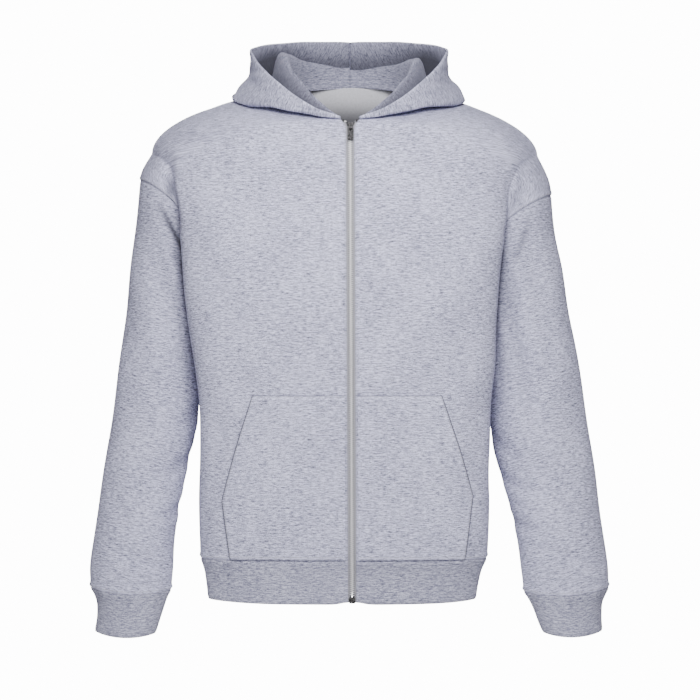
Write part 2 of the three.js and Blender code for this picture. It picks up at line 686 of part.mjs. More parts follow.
// A closed wall of the cloth's thickness: its outside, its inside and the rims of its open edges
function wallGeometry(piece) {
  const middle = drawnBack(piece);
  const position = [];
  for (const side of [0.5, -0.5]) {
    middle.forEach((p, k) => {
      const q = p.clone().addScaledVector(piece.normals[k], side * piece.thick);
      position.push(q.x, q.y, q.z);
    });
  }
  const under = middle.length;
  const index = [];
  const quad = (a, b, c, d) => index.push(a, b, c, a, c, d);
  for (const [a, b, c, d] of piece.quads) {
    quad(a, b, c, d);
    quad(under + d, under + c, under + b, under + a);
  }
  for (const [from, to] of piece.edges) quad(to, from, under + from, under + to);
  const geometry = new THREE.BufferGeometry();
  geometry.setAttribute("position", new THREE.Float32BufferAttribute(position, 3));
  geometry.setIndex(index);
  return geometry;
}

// The zip's hard parts each stand in a frame that leans with the chest: y is up and z is out
const SLIDER = { wide: 7.8, high: 13, deep: 3.2, back: -1.2, shoulder: 11.4, x: 0.6, z: -58 };
const SLIDER_NOTCH = { wide: 1.4, deep: 2.4 }; // between its shoulders, half of the width
const BRIDGE = { wide: 1.6, long: 6.4, rise: 2.7, leg: 1.1, low: -6.4, sunk: 0.5 };
const TAB = { wide: 8.2, high: 20.5, deep: 0.9, corner: 1.6, bar: 1.1 };
const TAB_EYE = { wide: 4.2, high: 3.4 };
const TAB_HOLE = { radius: 1.1, up: 3 };
const TAB_REST = { y: -4.5, z: 2.76 }; // the middle of the bar that it turns about
const STOP = { wide: 2.6, high: 3.2, deep: 2.2, corner: 0.6, back: -1.2, x: 9.4, z: -49.6 };
const BOX = { wide: 8.6, high: 8.4, deep: 3.2, corner: 1.8, back: -1.5, z: -704.8 };
const LEAN_REACH = 8; // how far up and down the chest's slope is taken from
const CORNER_STEPS = 5;

function zipFrame(x, z) {
  const rise = frontLineY(z + LEAN_REACH) - frontLineY(z - LEAN_REACH);
  const lean = Math.atan2(rise, 2 * LEAN_REACH);
  const frame = new THREE.Group();
  frame.position.set(zipX(z) + x, frontLineY(z), z);
  frame.rotation.x = Math.PI / 2 - lean;
  hoodie.add(frame);
  return frame;
}

const outline = (corners) => new THREE.Shape(corners.map(([x, y]) => new THREE.Vector2(x, y)));
const plate = (shape, depth) =>
  new THREE.ExtrudeGeometry(shape, { depth, bevelEnabled: false, curveSegments: CORNER_STEPS });

function roundedPlate({ wide, high, corner }) {
  const shape = new THREE.Shape();
  const [x, y] = [wide / 2 - corner, high / 2 - corner];
  shape.absarc(x, -y, corner, -Math.PI / 2, 0);
  shape.absarc(x, y, corner, 0, Math.PI / 2);
  shape.absarc(-x, y, corner, Math.PI / 2, Math.PI);
  shape.absarc(-x, -y, corner, Math.PI, Math.PI * 1.5);
  shape.closePath();
  return shape;
}

function toSolid(geometry) {
  const welded = mergeVertices(geometry.deleteAttribute("uv").deleteAttribute("normal"));
  return new wasm.Manifold(
    new wasm.Mesh({
      numProp: 3,
      vertProperties: new Float32Array(welded.getAttribute("position").array),
      triVerts: new Uint32Array(welded.getIndex().array),
    }),
  );
}

function fromSolid(solid) {
  const { vertProperties, triVerts } = solid.getMesh();
  const geometry = new THREE.BufferGeometry();
  geometry.setAttribute("position", new THREE.BufferAttribute(vertProperties, 3));
  geometry.setIndex(new THREE.BufferAttribute(triVerts, 1));
  return geometry;
}

// The slider's body with its two shoulders, and the bridge that the pull tab hangs from
function sliderGeometry() {
  const { wide, high, deep, back, shoulder } = SLIDER;
  const [x, y, top] = [wide / 2, high / 2, shoulder / 2];
  const half = [
    [0, y - SLIDER_NOTCH.deep],
    [SLIDER_NOTCH.wide, y],
    [top, y],
    [x, y / 3],
    [x, -y],
  ];
  const otherHalf = half
    .slice(1)
    .reverse()
    .map(([a, b]) => [-a, b]);
  const body = plate(outline([...half, ...otherHalf]), deep);
  const { long, rise, leg, low, sunk } = BRIDGE;
  const arch = outline([
    [0, -sunk],
    [0, rise],
    [long, rise],
    [long, -sunk],
    [long - leg, -sunk],
    [long - leg, rise - leg],
    [leg, rise - leg],
    [leg, -sunk],
  ]);
  const turned = new THREE.Matrix4().makeBasis(vec(0, 1, 0), vec(0, 0, 1), vec(1, 0, 0));
  const bridge = plate(arch, BRIDGE.wide).translate(0, 0, -BRIDGE.wide / 2).applyMatrix4(turned);
  body.translate(0, 0, back);
  bridge.translate(0, low, back + deep);
  return fromSolid(toSolid(body).add(toSolid(bridge)));
}

// The pull tab: a plate with an eye round the bridge and a hole near its end
function tabGeometry() {
  const { high, deep, bar } = TAB;
  const shape = roundedPlate(TAB);
  const eyeTop = high / 2 - bar;
  const eyeLow = eyeTop - TAB_EYE.high;
  shape.holes.push(
    new THREE.Path([
      new THREE.Vector2(-TAB_EYE.wide / 2, eyeTop),
      new THREE.Vector2(-TAB_EYE.wide / 2, eyeLow),
      new THREE.Vector2(TAB_EYE.wide / 2, eyeLow),
      new THREE.Vector2(TAB_EYE.wide / 2, eyeTop),
    ]),
    new THREE.Path().absarc(0, TAB_HOLE.up - high / 2, TAB_HOLE.radius, 0, 2 * Math.PI, true),
  );
  return plate(shape, deep).translate(0, TAB_REST.y + bar / 2 - high / 2, TAB_REST.z - deep / 2);
}

function addZipParts() {
  const add = (frame, name, geometry) => {
    const mesh = new THREE.Mesh(geometry, MATERIALS.nickel);
    mesh.name = name;
    frame.add(mesh);
  };
  const slider = zipFrame(SLIDER.x, SLIDER.z);
  add(slider, "zip_slider", sliderGeometry());
  add(slider, "zip_pull_tab", tabGeometry());
  for (const [name, side] of Object.entries(SIDES)) {
    const stop = plate(roundedPlate(STOP), STOP.deep);
    add(zipFrame(side.sign * STOP.x, STOP.z), `zip_stop_${name}`, stop.translate(0, 0, STOP.back));
  }
  const box = plate(roundedPlate(BOX), BOX.deep);
  add(zipFrame(0, BOX.z), "zip_bottom_box", box.translate(0, 0, BOX.back));
}

const finish = (color, roughness, metalness) =>
  new THREE.MeshStandardMaterial({ color, roughness, metalness, side: THREE.DoubleSide });
const MATERIALS = {
  fleece: finish(0xa9a9b4, 0.95, 0),
  rib: finish(0xa3a3af, 0.95, 0),
  tape: finish(0xb9b8bd, 0.9, 0),
  nickel: finish(0x8d8b88, 0.35, 1),
};

const hoodie = new THREE.Group();
hoodie.name = "zip_up_hoodie";

const { fleece, rib, tape } = MATERIALS;
cloth("back", backPatches(), { flip: true, material: fleece });
cloth("hem_rib", [hemGrid()], { thick: RIB_KNIT, material: rib });
for (const [name, side] of Object.entries(SIDES)) {
  cloth(`front_${name}`, [frontGrid(side)], { flip: side.sign < 0, material: fleece });
}
layOverBody(pieces);
for (const [name, side] of Object.entries(SIDES)) {
  const flip = side.sign < 0;
  const armTube = { closed: true, flip };
  cloth(`sleeve_${name}`, [sleeveGrid(side)], { ...armTube, material: fleece });
  cloth(`cuff_${name}`, [cuffGrid(side)], { ...armTube, thick: RIB_KNIT, material: rib });
  cloth(`hood_${name}`, [hoodGrid(side)], { flip: !flip, thick: HOOD_CLOTH, material: fleece });
  cloth(`pocket_${name}`, [pocketGrid(side)], { flip, sewn: false, material: fleece });
  cloth(`zip_tape_${name}`, [tapeGrid(side)], {
    flip: !flip,
    thick: ZIP_TAPE,
    sewn: false,
    material: tape,
  });
}

meetAtSeams();
for (const piece of pieces) {
  const mesh = new THREE.Mesh(wallGeometry(piece), piece.material);
  mesh.name = piece.name;
  hoodie.add(mesh);
}
addZipParts();

export default hoodie;
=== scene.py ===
# %% [markdown]
# # Sewing a zip-up hoodie in Blender
#
# This lesson builds a grey heather hoodie from the pieces that a maker would cut: fronts, back,
# sleeves, hood halves, ribs, pocket halves and zip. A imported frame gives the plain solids.
# Each cloth piece here is a fine thin sheet on the same form, with seams and soft folds.
#
# All sizes are in millimetres until the mesh is made. +X is the wearer's left, +Y is the back.

import math
from types import SimpleNamespace

import bpy
import numpy as np
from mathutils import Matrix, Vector, kdtree


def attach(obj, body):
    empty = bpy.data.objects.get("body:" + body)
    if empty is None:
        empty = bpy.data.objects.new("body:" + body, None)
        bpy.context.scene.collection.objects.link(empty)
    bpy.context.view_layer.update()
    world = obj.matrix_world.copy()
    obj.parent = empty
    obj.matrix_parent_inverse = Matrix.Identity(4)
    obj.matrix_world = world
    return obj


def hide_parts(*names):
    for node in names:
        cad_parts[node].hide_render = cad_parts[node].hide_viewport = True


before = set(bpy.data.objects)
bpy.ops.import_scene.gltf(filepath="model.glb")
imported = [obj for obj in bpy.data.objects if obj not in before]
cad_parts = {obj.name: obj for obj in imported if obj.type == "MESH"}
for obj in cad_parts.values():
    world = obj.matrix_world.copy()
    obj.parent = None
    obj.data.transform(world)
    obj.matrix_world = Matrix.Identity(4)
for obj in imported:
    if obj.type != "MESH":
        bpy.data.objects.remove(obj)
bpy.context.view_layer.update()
MM = 0.001
GARMENT = "garment"
print("CAD nodes:", len(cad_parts))

# %% [markdown]
# ## The sizes of the garment
#
# A table holds one row for each section of a tube or panel, under named columns. A smooth curve
# runs through each column, so a few rows give the whole shape.


# %% Tables and curves
def table(columns, *rows):
    """Rows of numbers under named columns."""
    return dict(zip(columns.split(), np.array(rows, float).T))


def curve(at, value):
    """A smooth curve through the values."""
    slope = np.empty(len(at))
    slope[1:-1] = (value[2:] - value[:-2]) / (at[2:] - at[:-2])
    slope[0] = (value[1] - value[0]) / (at[1] - at[0])
    slope[-1] = (value[-1] - value[-2]) / (at[-1] - at[-2])

    def read(x):
        x = np.asarray(x, float)
        i = np.clip(np.searchsorted(at, x) - 1, 0, len(at) - 2)
        span = at[i + 1] - at[i]
        t = np.clip((x - at[i]) / span, 0, 1)
        t2, t3 = t * t, t * t * t
        start = value[i] * (2 * t3 - 3 * t2 + 1) + slope[i] * span * (t3 - 2 * t2 + t)
        return start + value[i + 1] * (3 * t2 - 2 * t3) + slope[i + 1] * span * (t3 - t2)

    return read


def curves_of(rows, by):
    """Each column of a table as a curve of one of them."""
    return {name: curve(rows[by], rows[name]) for name in rows if name != by}


def mix(a, b, t):
    return a + (b - a) * t


def smooth(t):
    return (1 - np.cos(np.pi * np.clip(t, 0, 1))) / 2


def vec(x, y, z):
    return np.stack(np.broadcast_arrays(*(np.asarray(c, float) for c in (x, y, z))), -1)


# %% Sizes, in millimetres
FLEECE, RIB_KNIT, HOOD_CLOTH, ZIP_TAPE = 2.0, 2.4, 2.6, 0.8
SEAM_GAP = 0.34
HEM_EDGE_Z, HEM_SIDE_RISE, HEM_RISE_LATE = -711, 5, 4
HEM_SEAM_Z, UNDERARM_Z, FRONT_NECK_Z = -650, -234, -48
NECK = SimpleNamespace(
    half_width=88, y=5, z=-12, front_reach=93, back_reach=77, back_rise=22, front_sweep=1.2
)
ZIP_HALF_GAP, ZIP_PART_HALF_GAP, ZIP_PART_Z, ZIP_LEAN = 5.6, 13, -62, 3

BODY_SECTIONS = table(
    "z wide_right wide_left dent front back",
    (-711, 195, 173, 2, 124, 112),
    (-690, 197, 176, 2, 127, 115),
    (-668, 200, 181, 2, 132, 119),
    (-650, 205, 187, 2, 137, 123),
    (-620, 207, 190, 2, 140, 125),
    (-560, 207, 191, 3, 137, 121),
    (-497, 205, 192, 6, 136, 118),
    (-450, 206, 193, 11, 137, 118),
    (-400, 211, 197, 23, 139, 120),
    (-330, 221, 201, 36, 142, 125),
    (-280, 228, 205, 44, 142, 129),
    (-234, 231, 209, 44, 140, 131),
)
FRONT_ROLL_Y, BACK_ROLL_Y, SIDE_SEAM_Y = -64, 92, 18
BODY_SQUARE = 0.77
RETURN_INWARD, RETURN_BACK, UNDERARM_BLEND = 0.65, 1.3, 40
CHEST_LINE = table("z y", (-234, -140), (-180, -136), (-125, -125), (-80, -108), (-48, -88))
BACK_LINE = table("z y", (-234, 131), (-170, 131), (-110, 126), (-55, 112), (-15, 94), (10, 82))
SHOULDER_ROLL = table(
    "up out front_y back_y z",
    (0.0, 0, -64, 92, 0),
    (0.25, 0.08, -68, 94, 0.31),
    (0.5, 0.18, -66, 86, 0.63),
    (0.75, 0.5, -42, 54, 0.88),
    (1.0, 1.0, 6, 6, 1.0),
)
ARM_COLUMNS = "out_x out_z in_x in_z y deep"
SIDES = {
    "right": SimpleNamespace(
        sign=-1,
        wide="wide_right",
        shoulder=(293, 8, -127),
        roll_x=277,
        roll_z=-88,
        square=1.05,
        underarm=(187, 18, UNDERARM_Z),
        seam_depth=71,
        seam_bow=17,
        sleeve=table(
            ARM_COLUMNS,
            (301, -196, 197, -262, 17, 66),
            (307, -246, 200, -290, 18, 62),
            (313, -306, 201, -330, 18, 59),
            (322, -376, 206, -385, 17, 58),
            (333, -459, 214, -462, 12, 57),
            (342, -520, 228, -522, 5, 55),
            (351, -581, 239, -584, -4, 52),
            (357, -626, 246, -630, -11, 50),
            (361, -664, 248, -668, -17, 48),
            (360, -694, 250, -697, -21, 45),
        ),
        cuff=table(
            ARM_COLUMNS,
            (355, -703, 255, -707, -23, 42),
            (351, -716, 260, -722, -25, 39),
            (351, -736, 266, -741, -28, 37),
            (354, -754, 271, -757, -31, 36),
        ),
        pocket=SimpleNamespace(top_x=132, top_z=-426, corner_x=174, corner_z=-570, base_x=163),
        crest=1,
        reach=1,
    ),
    "left": SimpleNamespace(
        sign=1,
        wide="wide_left",
        shoulder=(281, 8, -148),
        roll_x=262,
        roll_z=-90,
        square=1.15,
        underarm=(167, 18, UNDERARM_Z),
        seam_depth=71,
        seam_bow=12,
        sleeve=table(
            ARM_COLUMNS,
            (288, -206, 179, -264, 17, 67),
            (297, -250, 184, -292, 18, 63),
            (306, -306, 184, -330, 18, 60),
            (319, -376, 190, -388, 17, 59),
            (333, -470, 198, -478, 12, 58),
            (342, -532, 213, -540, 5, 56),
            (348, -582, 225, -586, -4, 53),
            (354, -628, 235, -632, -11, 51),
            (358, -664, 240, -670, -17, 48),
            (359, -694, 243, -700, -21, 45),
        ),
        cuff=table(
            ARM_COLUMNS,
            (355, -703, 249, -709, -23, 42),
            (350, -716, 256, -723, -25, 39),
            (349, -737, 263, -742, -28, 37),
            (350, -753, 269, -756, -31, 36),
        ),
        pocket=SimpleNamespace(top_x=124, top_z=-426, corner_x=167, corner_z=-563, base_x=156),
        crest=0.88,
        reach=0.95,
    ),
}
HOOD_SECTIONS = table(
    "round crest_out crest_up groove_out groove_up fold_out fold_up back_out back_up edge_out edge_up",
    (0.0, 0, 1.4, 0.8, 2.6, 1.7, 2.5, 2.5, 3.4, 3, 4.4),
    (0.14, 0, 22, 8, 8, 17, 2, 19, 7, 15, 14),
    (0.3, 1, 45, 14, 15, 42, 2, 39, 19, 29, 36),
    (0.5, 3, 62, 26, 15, 73, -8, 51, 29, 51, 65),
    (0.62, 3, 55, 34, 16, 78, 10, 66, 30, 55, 70),
    (0.69, 4, 47, 41, 12, 104, -36, 92, 4, 49, 71),
    (0.78, 4, 38, 42, -16, 92, -110, 104, -20, 42, 71),
    (0.9, 6, 29, 47, -52, 80, -150, 103, -46, 31, 69),
    (1.0, 7, 26, 50, -70, 72, -163, 102, -60, 26, 67),
)
HOOD_KEYS = ["crest", "groove", "fold", "back", "edge"]
HOOD_LAY_SIDE, HOOD_LAY_BEHIND, HOOD_LAY_REACH = 5.5, 14, 25
HOOD_BEHIND_FROM, HOOD_BEHIND_OVER = 0.5, 0.12
HOOD_TILT_BACK = math.radians(10)
ARC_SHARE, NECK_LEVEL = 0.76, 0.55
CUFF_SEAM_DIP, BOW_SHARE = -6, 0.25
POCKET_LIFT, POCKET_GAP, POCKET_ZIP_X, POCKET_HEM_GAP = 5, 1.1, 9, 1.2
POCKET_TURN, POCKET_LIFT_LATE = 0.35, 4
TAPE_BEHIND = 2.3

# %% [markdown]
# ## The folds
#
# Each fold is a soft trough from one place to another, with a low ridge on either side. The ones
# on the fronts and the back are placed by x and z; the ones on a sleeve by the angle round the
# arm, from its outside towards the front, and by the share of the way down.

# %% Folds
FRONT_FOLDS = table(
    "from_x from_z to_x to_z bow deep wide",
    (-250, -96, -240, -196, -5, 5.0, 8),
    (-266, -120, -240, -182, 6, 3.6, 7),
    (243, -112, 222, -204, 6, 4.0, 9),
    (262, -118, 240, -190, 4, 2.2, 8),
    (-205, -262, -146, -398, 10, 2.6, 26),
    (203, -262, 140, -390, -10, 2.8, 26),
    (-188, -418, -180, -556, 5, 2.2, 13),
    (184, -400, 176, -548, -5, 2.2, 13),
    (-58, -104, -150, -168, 6, 1.4, 24),
    (62, -108, 164, -172, -6, 1.3, 26),
    (-140, -216, -60, -262, 8, 1.2, 24),
    (150, -214, 60, -296, -8, 1.2, 26),
    (-124, -330, -36, -386, 6, 1.3, 22),
    (36, -318, 122, -380, 6, 1.2, 24),
    (-108, -470, -40, -540, 8, 1.2, 20),
    (52, -458, 118, -546, -8, 1.2, 20),
    (-132, -600, -104, -646, 2, 1.6, 10),
    (92, -604, 120, -646, 2, 1.5, 10),
)
BACK_FOLDS = table(
    "from_x from_z to_x to_z bow deep wide",
    (-250, -100, -236, -200, -5, 4.5, 9),
    (246, -110, 226, -206, 6, 4.2, 9),
    (-150, -196, -36, -262, 10, 2.4, 26),
    (140, -206, 30, -280, -10, 2.2, 26),
    (-204, -258, -128, -420, 12, 3.2, 24),
    (202, -262, 120, -410, -12, 3.0, 24),
    (-120, -470, 10, -530, 10, 1.8, 24),
    (126, -446, 40, -556, -10, 1.8, 22),
    (-170, -540, -120, -640, 6, 2.0, 14),
    (160, -560, 118, -642, -6, 2.0, 14),
    (-40, -590, -26, -646, 3, 1.6, 11),
)
SLEEVE_COLUMNS = "from_round from_down to_round to_down deep wide"
SLEEVE_FOLDS = {
    "right": table(
        SLEEVE_COLUMNS,
        (92, 0.05, 142, 0.27, 7, 13),
        (235, 0.06, 205, 0.30, 6, 14),
        (60, 0.82, 150, 0.90, 3, 12),
        (128, 0.10, 152, 0.36, 4, 9),
        (70, 0.16, 112, 0.40, 2.2, 14),
        (118, 0.52, 186, 0.47, 2.6, 10),
        (112, 0.63, 188, 0.58, 3.0, 9),
        (122, 0.73, 192, 0.69, 2.8, 9),
        (214, 0.60, 262, 0.52, 2.6, 11),
        (222, 0.72, 280, 0.66, 2.6, 10),
        (30, 0.30, 66, 0.52, 1.6, 18),
        (40, 0.64, 84, 0.76, 1.6, 14),
    ),
    "left": table(
        SLEEVE_COLUMNS,
        (120, 0.10, 100, 0.52, 6, 14),
        (240, 0.08, 215, 0.34, 6, 14),
        (40, 0.90, 130, 0.80, 3, 12),
        (146, 0.12, 132, 0.42, 4, 9),
        (80, 0.06, 62, 0.34, 2.2, 14),
        (112, 0.56, 182, 0.50, 2.6, 10),
        (100, 0.66, 176, 0.60, 2.6, 10),
        (112, 0.77, 184, 0.73, 2.4, 9),
        (216, 0.58, 266, 0.50, 2.6, 11),
        (226, 0.70, 282, 0.64, 2.4, 10),
        (26, 0.40, 70, 0.60, 1.6, 18),
    ),
}
FOLD_ROUND, FOLD_DOWN, FOLD_TAPER = 1.15, 560, 0.12
RIDGE_SHARE, RIDGE_AWAY = 0.3, 1.9


def troughs(x, y, folds, from_x, from_y, to_x, to_y, bow=None):
    """The summed relief of a table of folds at places (x, y): negative in a trough."""
    relief = np.zeros(np.broadcast(x, y).shape)
    for i, (deep, wide) in enumerate(zip(folds["deep"], folds["wide"])):
        run_x, run_y = to_x[i] - from_x[i], to_y[i] - from_y[i]
        length = math.hypot(run_x, run_y)
        t = np.clip(((x - from_x[i]) * run_x + (y - from_y[i]) * run_y) / length**2, 0, 1)
        side = 0 if bow is None else bow[i] * np.sin(np.pi * t)
        centre_x = from_x[i] + t * run_x - side * run_y / length
        centre_y = from_y[i] + t * run_y + side * run_x / length
        off = np.hypot(x - centre_x, y - centre_y) / wide
        ridge = RIDGE_SHARE * np.exp(-((off - RIDGE_AWAY) ** 2) * 2)
        taper = np.sin(np.pi * mix(FOLD_TAPER, 1 - FOLD_TAPER, t))
        relief -= deep * taper * (np.exp(-(off**2)) - ridge)
    return relief


def panel_relief(points, folds):
    """Folds and a faint unevenness on a front or back, by x and z."""
    x, z = points[..., 0], points[..., 2]
    relief = troughs(
        x, z, folds, folds["from_x"], folds["from_z"], folds["to_x"], folds["to_z"], folds["bow"]
    )
    uneven = np.sin(x * 0.041 + 1.3 * np.sin(z * 0.017)) * np.sin(z * 0.029 + 0.9)
    return relief + 0.55 * uneven + 0.3 * np.sin(x * 0.093 + z * 0.061)


def gathers(points, pitch, deep):
    """The small uneven puckers that a seam draws up, by the place along it."""
    along = points[..., 0] + 0.8 * points[..., 1]
    wave = np.sin(2 * np.pi * along / pitch + 1.7 * np.sin(along * 0.043))
    return deep * (wave + 0.5 * np.sin(2 * np.pi * along / (pitch * 0.61) + 2.0)) / 1.5


# %% [markdown]
# ## Panels as grids
#
# Every row of a front or back starts at the zip, the centre back or the neck, swings out round
# the chest in an arc, and turns in at the side seam or armhole.

# %% The body's form
body_section = curves_of(BODY_SECTIONS, "z")
chest_y = curve(CHEST_LINE["z"], CHEST_LINE["y"])
back_y = curve(BACK_LINE["z"], BACK_LINE["y"])
shoulder_roll = curves_of(SHOULDER_ROLL, "up")
FRONT_NECK_TURN = math.asin(ZIP_PART_HALF_GAP / NECK.half_width)


def zip_half_gap(z):
    t = np.clip((z - ZIP_PART_Z) / (FRONT_NECK_Z - ZIP_PART_Z), 0, 1)
    return mix(ZIP_HALF_GAP, ZIP_PART_HALF_GAP, t * t)


def zip_x(z):
    return ZIP_LEAN * (FRONT_NECK_Z - z) / (FRONT_NECK_Z - HEM_EDGE_Z)


def front_line_y(z):
    return np.where(z > UNDERARM_Z, chest_y(z), -body_section["front"](z))


def neck_point(side, turn):
    """The neck seam: turn is 0 at the front and pi at the nape."""
    s, c = np.sin(turn), np.cos(turn)
    reach = -np.where(c > 0, NECK.front_reach, NECK.back_reach) * c
    drop = (FRONT_NECK_Z - NECK.z) * np.abs(c) ** NECK.front_sweep
    rise = np.where(c > 0, drop, -NECK.back_rise * c)
    return vec(side.sign * NECK.half_width * s, NECK.y + reach, NECK.z + rise)


def armhole_point(side, turn, facing):
    """The drop-shoulder seam: turn is 0 at the shoulder point and pi under the arm."""
    top, low = side.shoulder, side.underarm
    share, across = (1 + np.cos(turn)) / 2, np.sin(turn)
    return vec(
        side.sign * mix(low[0], top[0], share),
        mix(low[1], top[1], share) + facing * side.seam_depth * across,
        mix(low[2], top[2], share) + side.seam_bow * across * across,
    )


def lower_lines(side, z, facing):
    section = {name: read(z) for name, read in body_section.items()}
    wide = section[side.wide]
    to_underarm = side.underarm[0] - (BODY_SECTIONS[side.wide][-1] - BODY_SECTIONS["dent"][-1])
    near = np.clip(1 - (UNDERARM_Z - z) / UNDERARM_BLEND, 0, 1)
    front = facing < 0
    start_x = zip_x(z) + side.sign * ZIP_HALF_GAP if front else 0
    start = vec(start_x, -section["front"] if front else section["back"], z)
    roll = vec(side.sign * wide, FRONT_ROLL_Y if front else BACK_ROLL_Y, z)
    end = vec(side.sign * (wide - section["dent"] + to_underarm * near), SIDE_SEAM_Y, z)
    return start, roll, end, np.full(len(z), BODY_SQUARE)


def upper_lines(side, level, facing):
    front = facing < 0
    top_z = FRONT_NECK_Z if front else NECK.z + NECK.back_rise
    z = mix(UNDERARM_Z, top_z, np.minimum(level / NECK_LEVEL, 1))
    line_x = zip_x(z) + side.sign * zip_half_gap(z) if front else 0
    line = vec(line_x, chest_y(z) if front else back_y(z), z)
    share = np.clip((level - NECK_LEVEL) / (1 - NECK_LEVEL), 0, 1)
    neck = neck_point(side, mix(FRONT_NECK_TURN if front else np.pi, np.pi / 2, share))
    start = np.where((level < NECK_LEVEL)[:, None], line, neck)
    out, z_share = shoulder_roll["out"](level), shoulder_roll["z"](level)
    roll = vec(
        side.sign * mix(BODY_SECTIONS[side.wide][-1], side.roll_x, out),
        shoulder_roll["front_y" if front else "back_y"](level),
        mix(UNDERARM_Z, side.roll_z, z_share),
    )
    end = armhole_point(side, np.pi * (1 - level), facing)
    return start, roll, end, mix(BODY_SQUARE, side.square, level)


def rows_across(lines, across):
    """A grid of points: one row for each set of lines."""
    start, roll, end = (part[:, None, :] for part in lines[:3])
    square = lines[3][:, None]
    turn = np.minimum(across / ARC_SHARE, 1)[None, :] * np.pi / 2
    s, c = np.sin(turn) ** square, np.maximum(np.cos(turn), 0) ** square
    arc = vec(
        mix(start[..., 0], roll[..., 0], s),
        mix(roll[..., 1], start[..., 1], c),
        mix(roll[..., 2], start[..., 2], c),
    )
    t = np.clip((across - ARC_SHARE) / (1 - ARC_SHARE), 0, 1)[None, :]
    turned_in = vec(
        mix(roll[..., 0], end[..., 0], smooth(t**RETURN_INWARD)),
        mix(roll[..., 1], end[..., 1], t**RETURN_BACK),
        mix(roll[..., 2], end[..., 2], t),
    )
    return np.where((across <= ARC_SHARE)[None, :, None], arc, turned_in)


def steps(count, fine_start=False, fine_end=False):
    """Even steps from 0 to 1, with the two beside a seam cut into finer ones."""
    t = np.linspace(0, 1, count + 1)
    fine = np.linspace(0, 2 / count, 7)
    if fine_start:
        t = np.concatenate([fine[:-1], t[2:]])
    if fine_end:
        t = np.concatenate([t[:-3], 1 - fine[::-1]])
    return t


FRONT_STEPS, RETURN_STEPS = 52, 22
LOWER_STEPS, CHEST_STEPS, NECK_STEPS = 96, 40, 40
to_roll = steps(FRONT_STEPS, fine_start=True) * ARC_SHARE
to_seam = mix(ARC_SHARE, 1, steps(RETURN_STEPS, fine_end=True)[1:])
ACROSS = np.concatenate([to_roll, to_seam])
below_arm = steps(LOWER_STEPS, fine_start=True) - 1
up_chest = np.linspace(0, NECK_LEVEL, CHEST_STEPS)[1:]
round_neck = mix(NECK_LEVEL, 1, steps(NECK_STEPS, fine_end=True)[1:])
LEVELS = np.concatenate([below_arm, up_chest, round_neck])


def half_body(side, facing):
    low, high = LEVELS[LEVELS <= 0], LEVELS[LEVELS > 0]
    lower = lower_lines(side, mix(UNDERARM_Z, HEM_SEAM_Z, -low), facing)
    upper = upper_lines(side, high, facing)
    lines = [np.concatenate(pair) for pair in zip(lower, upper)]
    return rows_across(lines, ACROSS)


# %% [markdown]
# ## Working on a grid
#
# A grid knows its normals, and how far each point is from the edges, measured along the cloth.
# Seams use that distance: a narrow groove at the seam, and a low ridge where the seam allowance
# is stitched down.


# %% Grid tools
INSIDE_LIT_Z, INSIDE_FADE = 2, 40


def unit(v):
    return v / np.maximum(np.linalg.norm(v, axis=-1, keepdims=True), 1e-12)


def normals_of(grid, flip, closed=False):
    """Outward normals. A closed grid's last column lies on its first."""
    du, dv = np.gradient(grid, axis=1), np.gradient(grid, axis=0)
    if closed:
        du[:, 0] = du[:, -1] = grid[:, 1] - grid[:, -2]
    return unit(np.cross(du, dv)) * (-1 if flip else 1)


def arc_from(grid, axis, end=False):
    """The distance along the cloth from the start of an axis, or from its end."""
    lengths = np.linalg.norm(np.diff(grid, axis=axis), axis=-1)
    zero = np.zeros_like(np.take(lengths, [0], axis))
    run = np.concatenate([zero, np.cumsum(lengths, axis)], axis)
    return np.take(run, [-1], axis) - run if end else run


def seam(distance, groove=0.8, ridge=0.55, ridge_at=4.5):
    """The relief beside a seam: a groove on it, and the ridge of the allowance under the cloth."""
    cut = -groove * np.exp(-((distance / 1.5) ** 2))
    return cut + ridge * np.exp(-(((distance - ridge_at) / 2.4) ** 2))


def pressed(distance, wide=1.3):
    """A falloff from a seam, 1 on the seam itself: how deep in painted shadow the cloth lies beside it, and
    also the shape of some reliefs.
    """
    return np.exp(-((distance / wide) ** 2))


def raised(distance, at=4.5, wide=2.2):
    """A band at a set distance from a seam: a painted highlight where the seam allowance lifts the cloth,
    and on the pocket also a relief ridge.
    """
    return np.exp(-(((distance - at) / wide) ** 2))


def inside_depth(grid):
    """Painted shade inside the body: how little light reaches it, by height below the nape."""
    return 0.94 * smooth((INSIDE_LIT_Z - grid[..., 2]) / INSIDE_FADE)


def fold_shade(deep):
    """The painted shadow that gathers in the deepest folds only."""
    return 0.12 * np.maximum(deep - 2.6, 0)


def faded(distance, reach):
    """0 at an edge, rising to 1 at reach away from it."""
    return smooth(distance / reach)


def drawn_back(grid, closed=False):
    """Each open edge moved into the cloth by half of the seam gap."""
    grid = grid.copy()
    grid[0] += unit(grid[1] - grid[0]) * SEAM_GAP / 2
    grid[-1] += unit(grid[-2] - grid[-1]) * SEAM_GAP / 2
    if not closed:
        grid[:, 0] += unit(grid[:, 1] - grid[:, 0]) * SEAM_GAP / 2
        grid[:, -1] += unit(grid[:, -2] - grid[:, -1]) * SEAM_GAP / 2
    return grid


# %% [markdown]
# ## Materials
#
# Heather fleece is grey yarn with darker and lighter slubs, so its colour comes in short streaks
# that run along the knitted courses. The streaks follow each piece's own UV map, which holds
# distances along the cloth in metres. A little sheen gives the nap. Shade beside seams, in folds
# and in gaps, and a few highlights, are painted into the colour from attributes on each piece.


# %% Shader helpers
def linear(hex_colour):
    """A colour written as sRGB hex, as the linear values that shaders take."""
    parts = [int(hex_colour[i : i + 2], 16) / 255 for i in (1, 3, 5)]
    return [p / 12.92 if p <= 0.04045 else ((p + 0.055) / 1.055) ** 2.4 for p in parts] + [1.0]


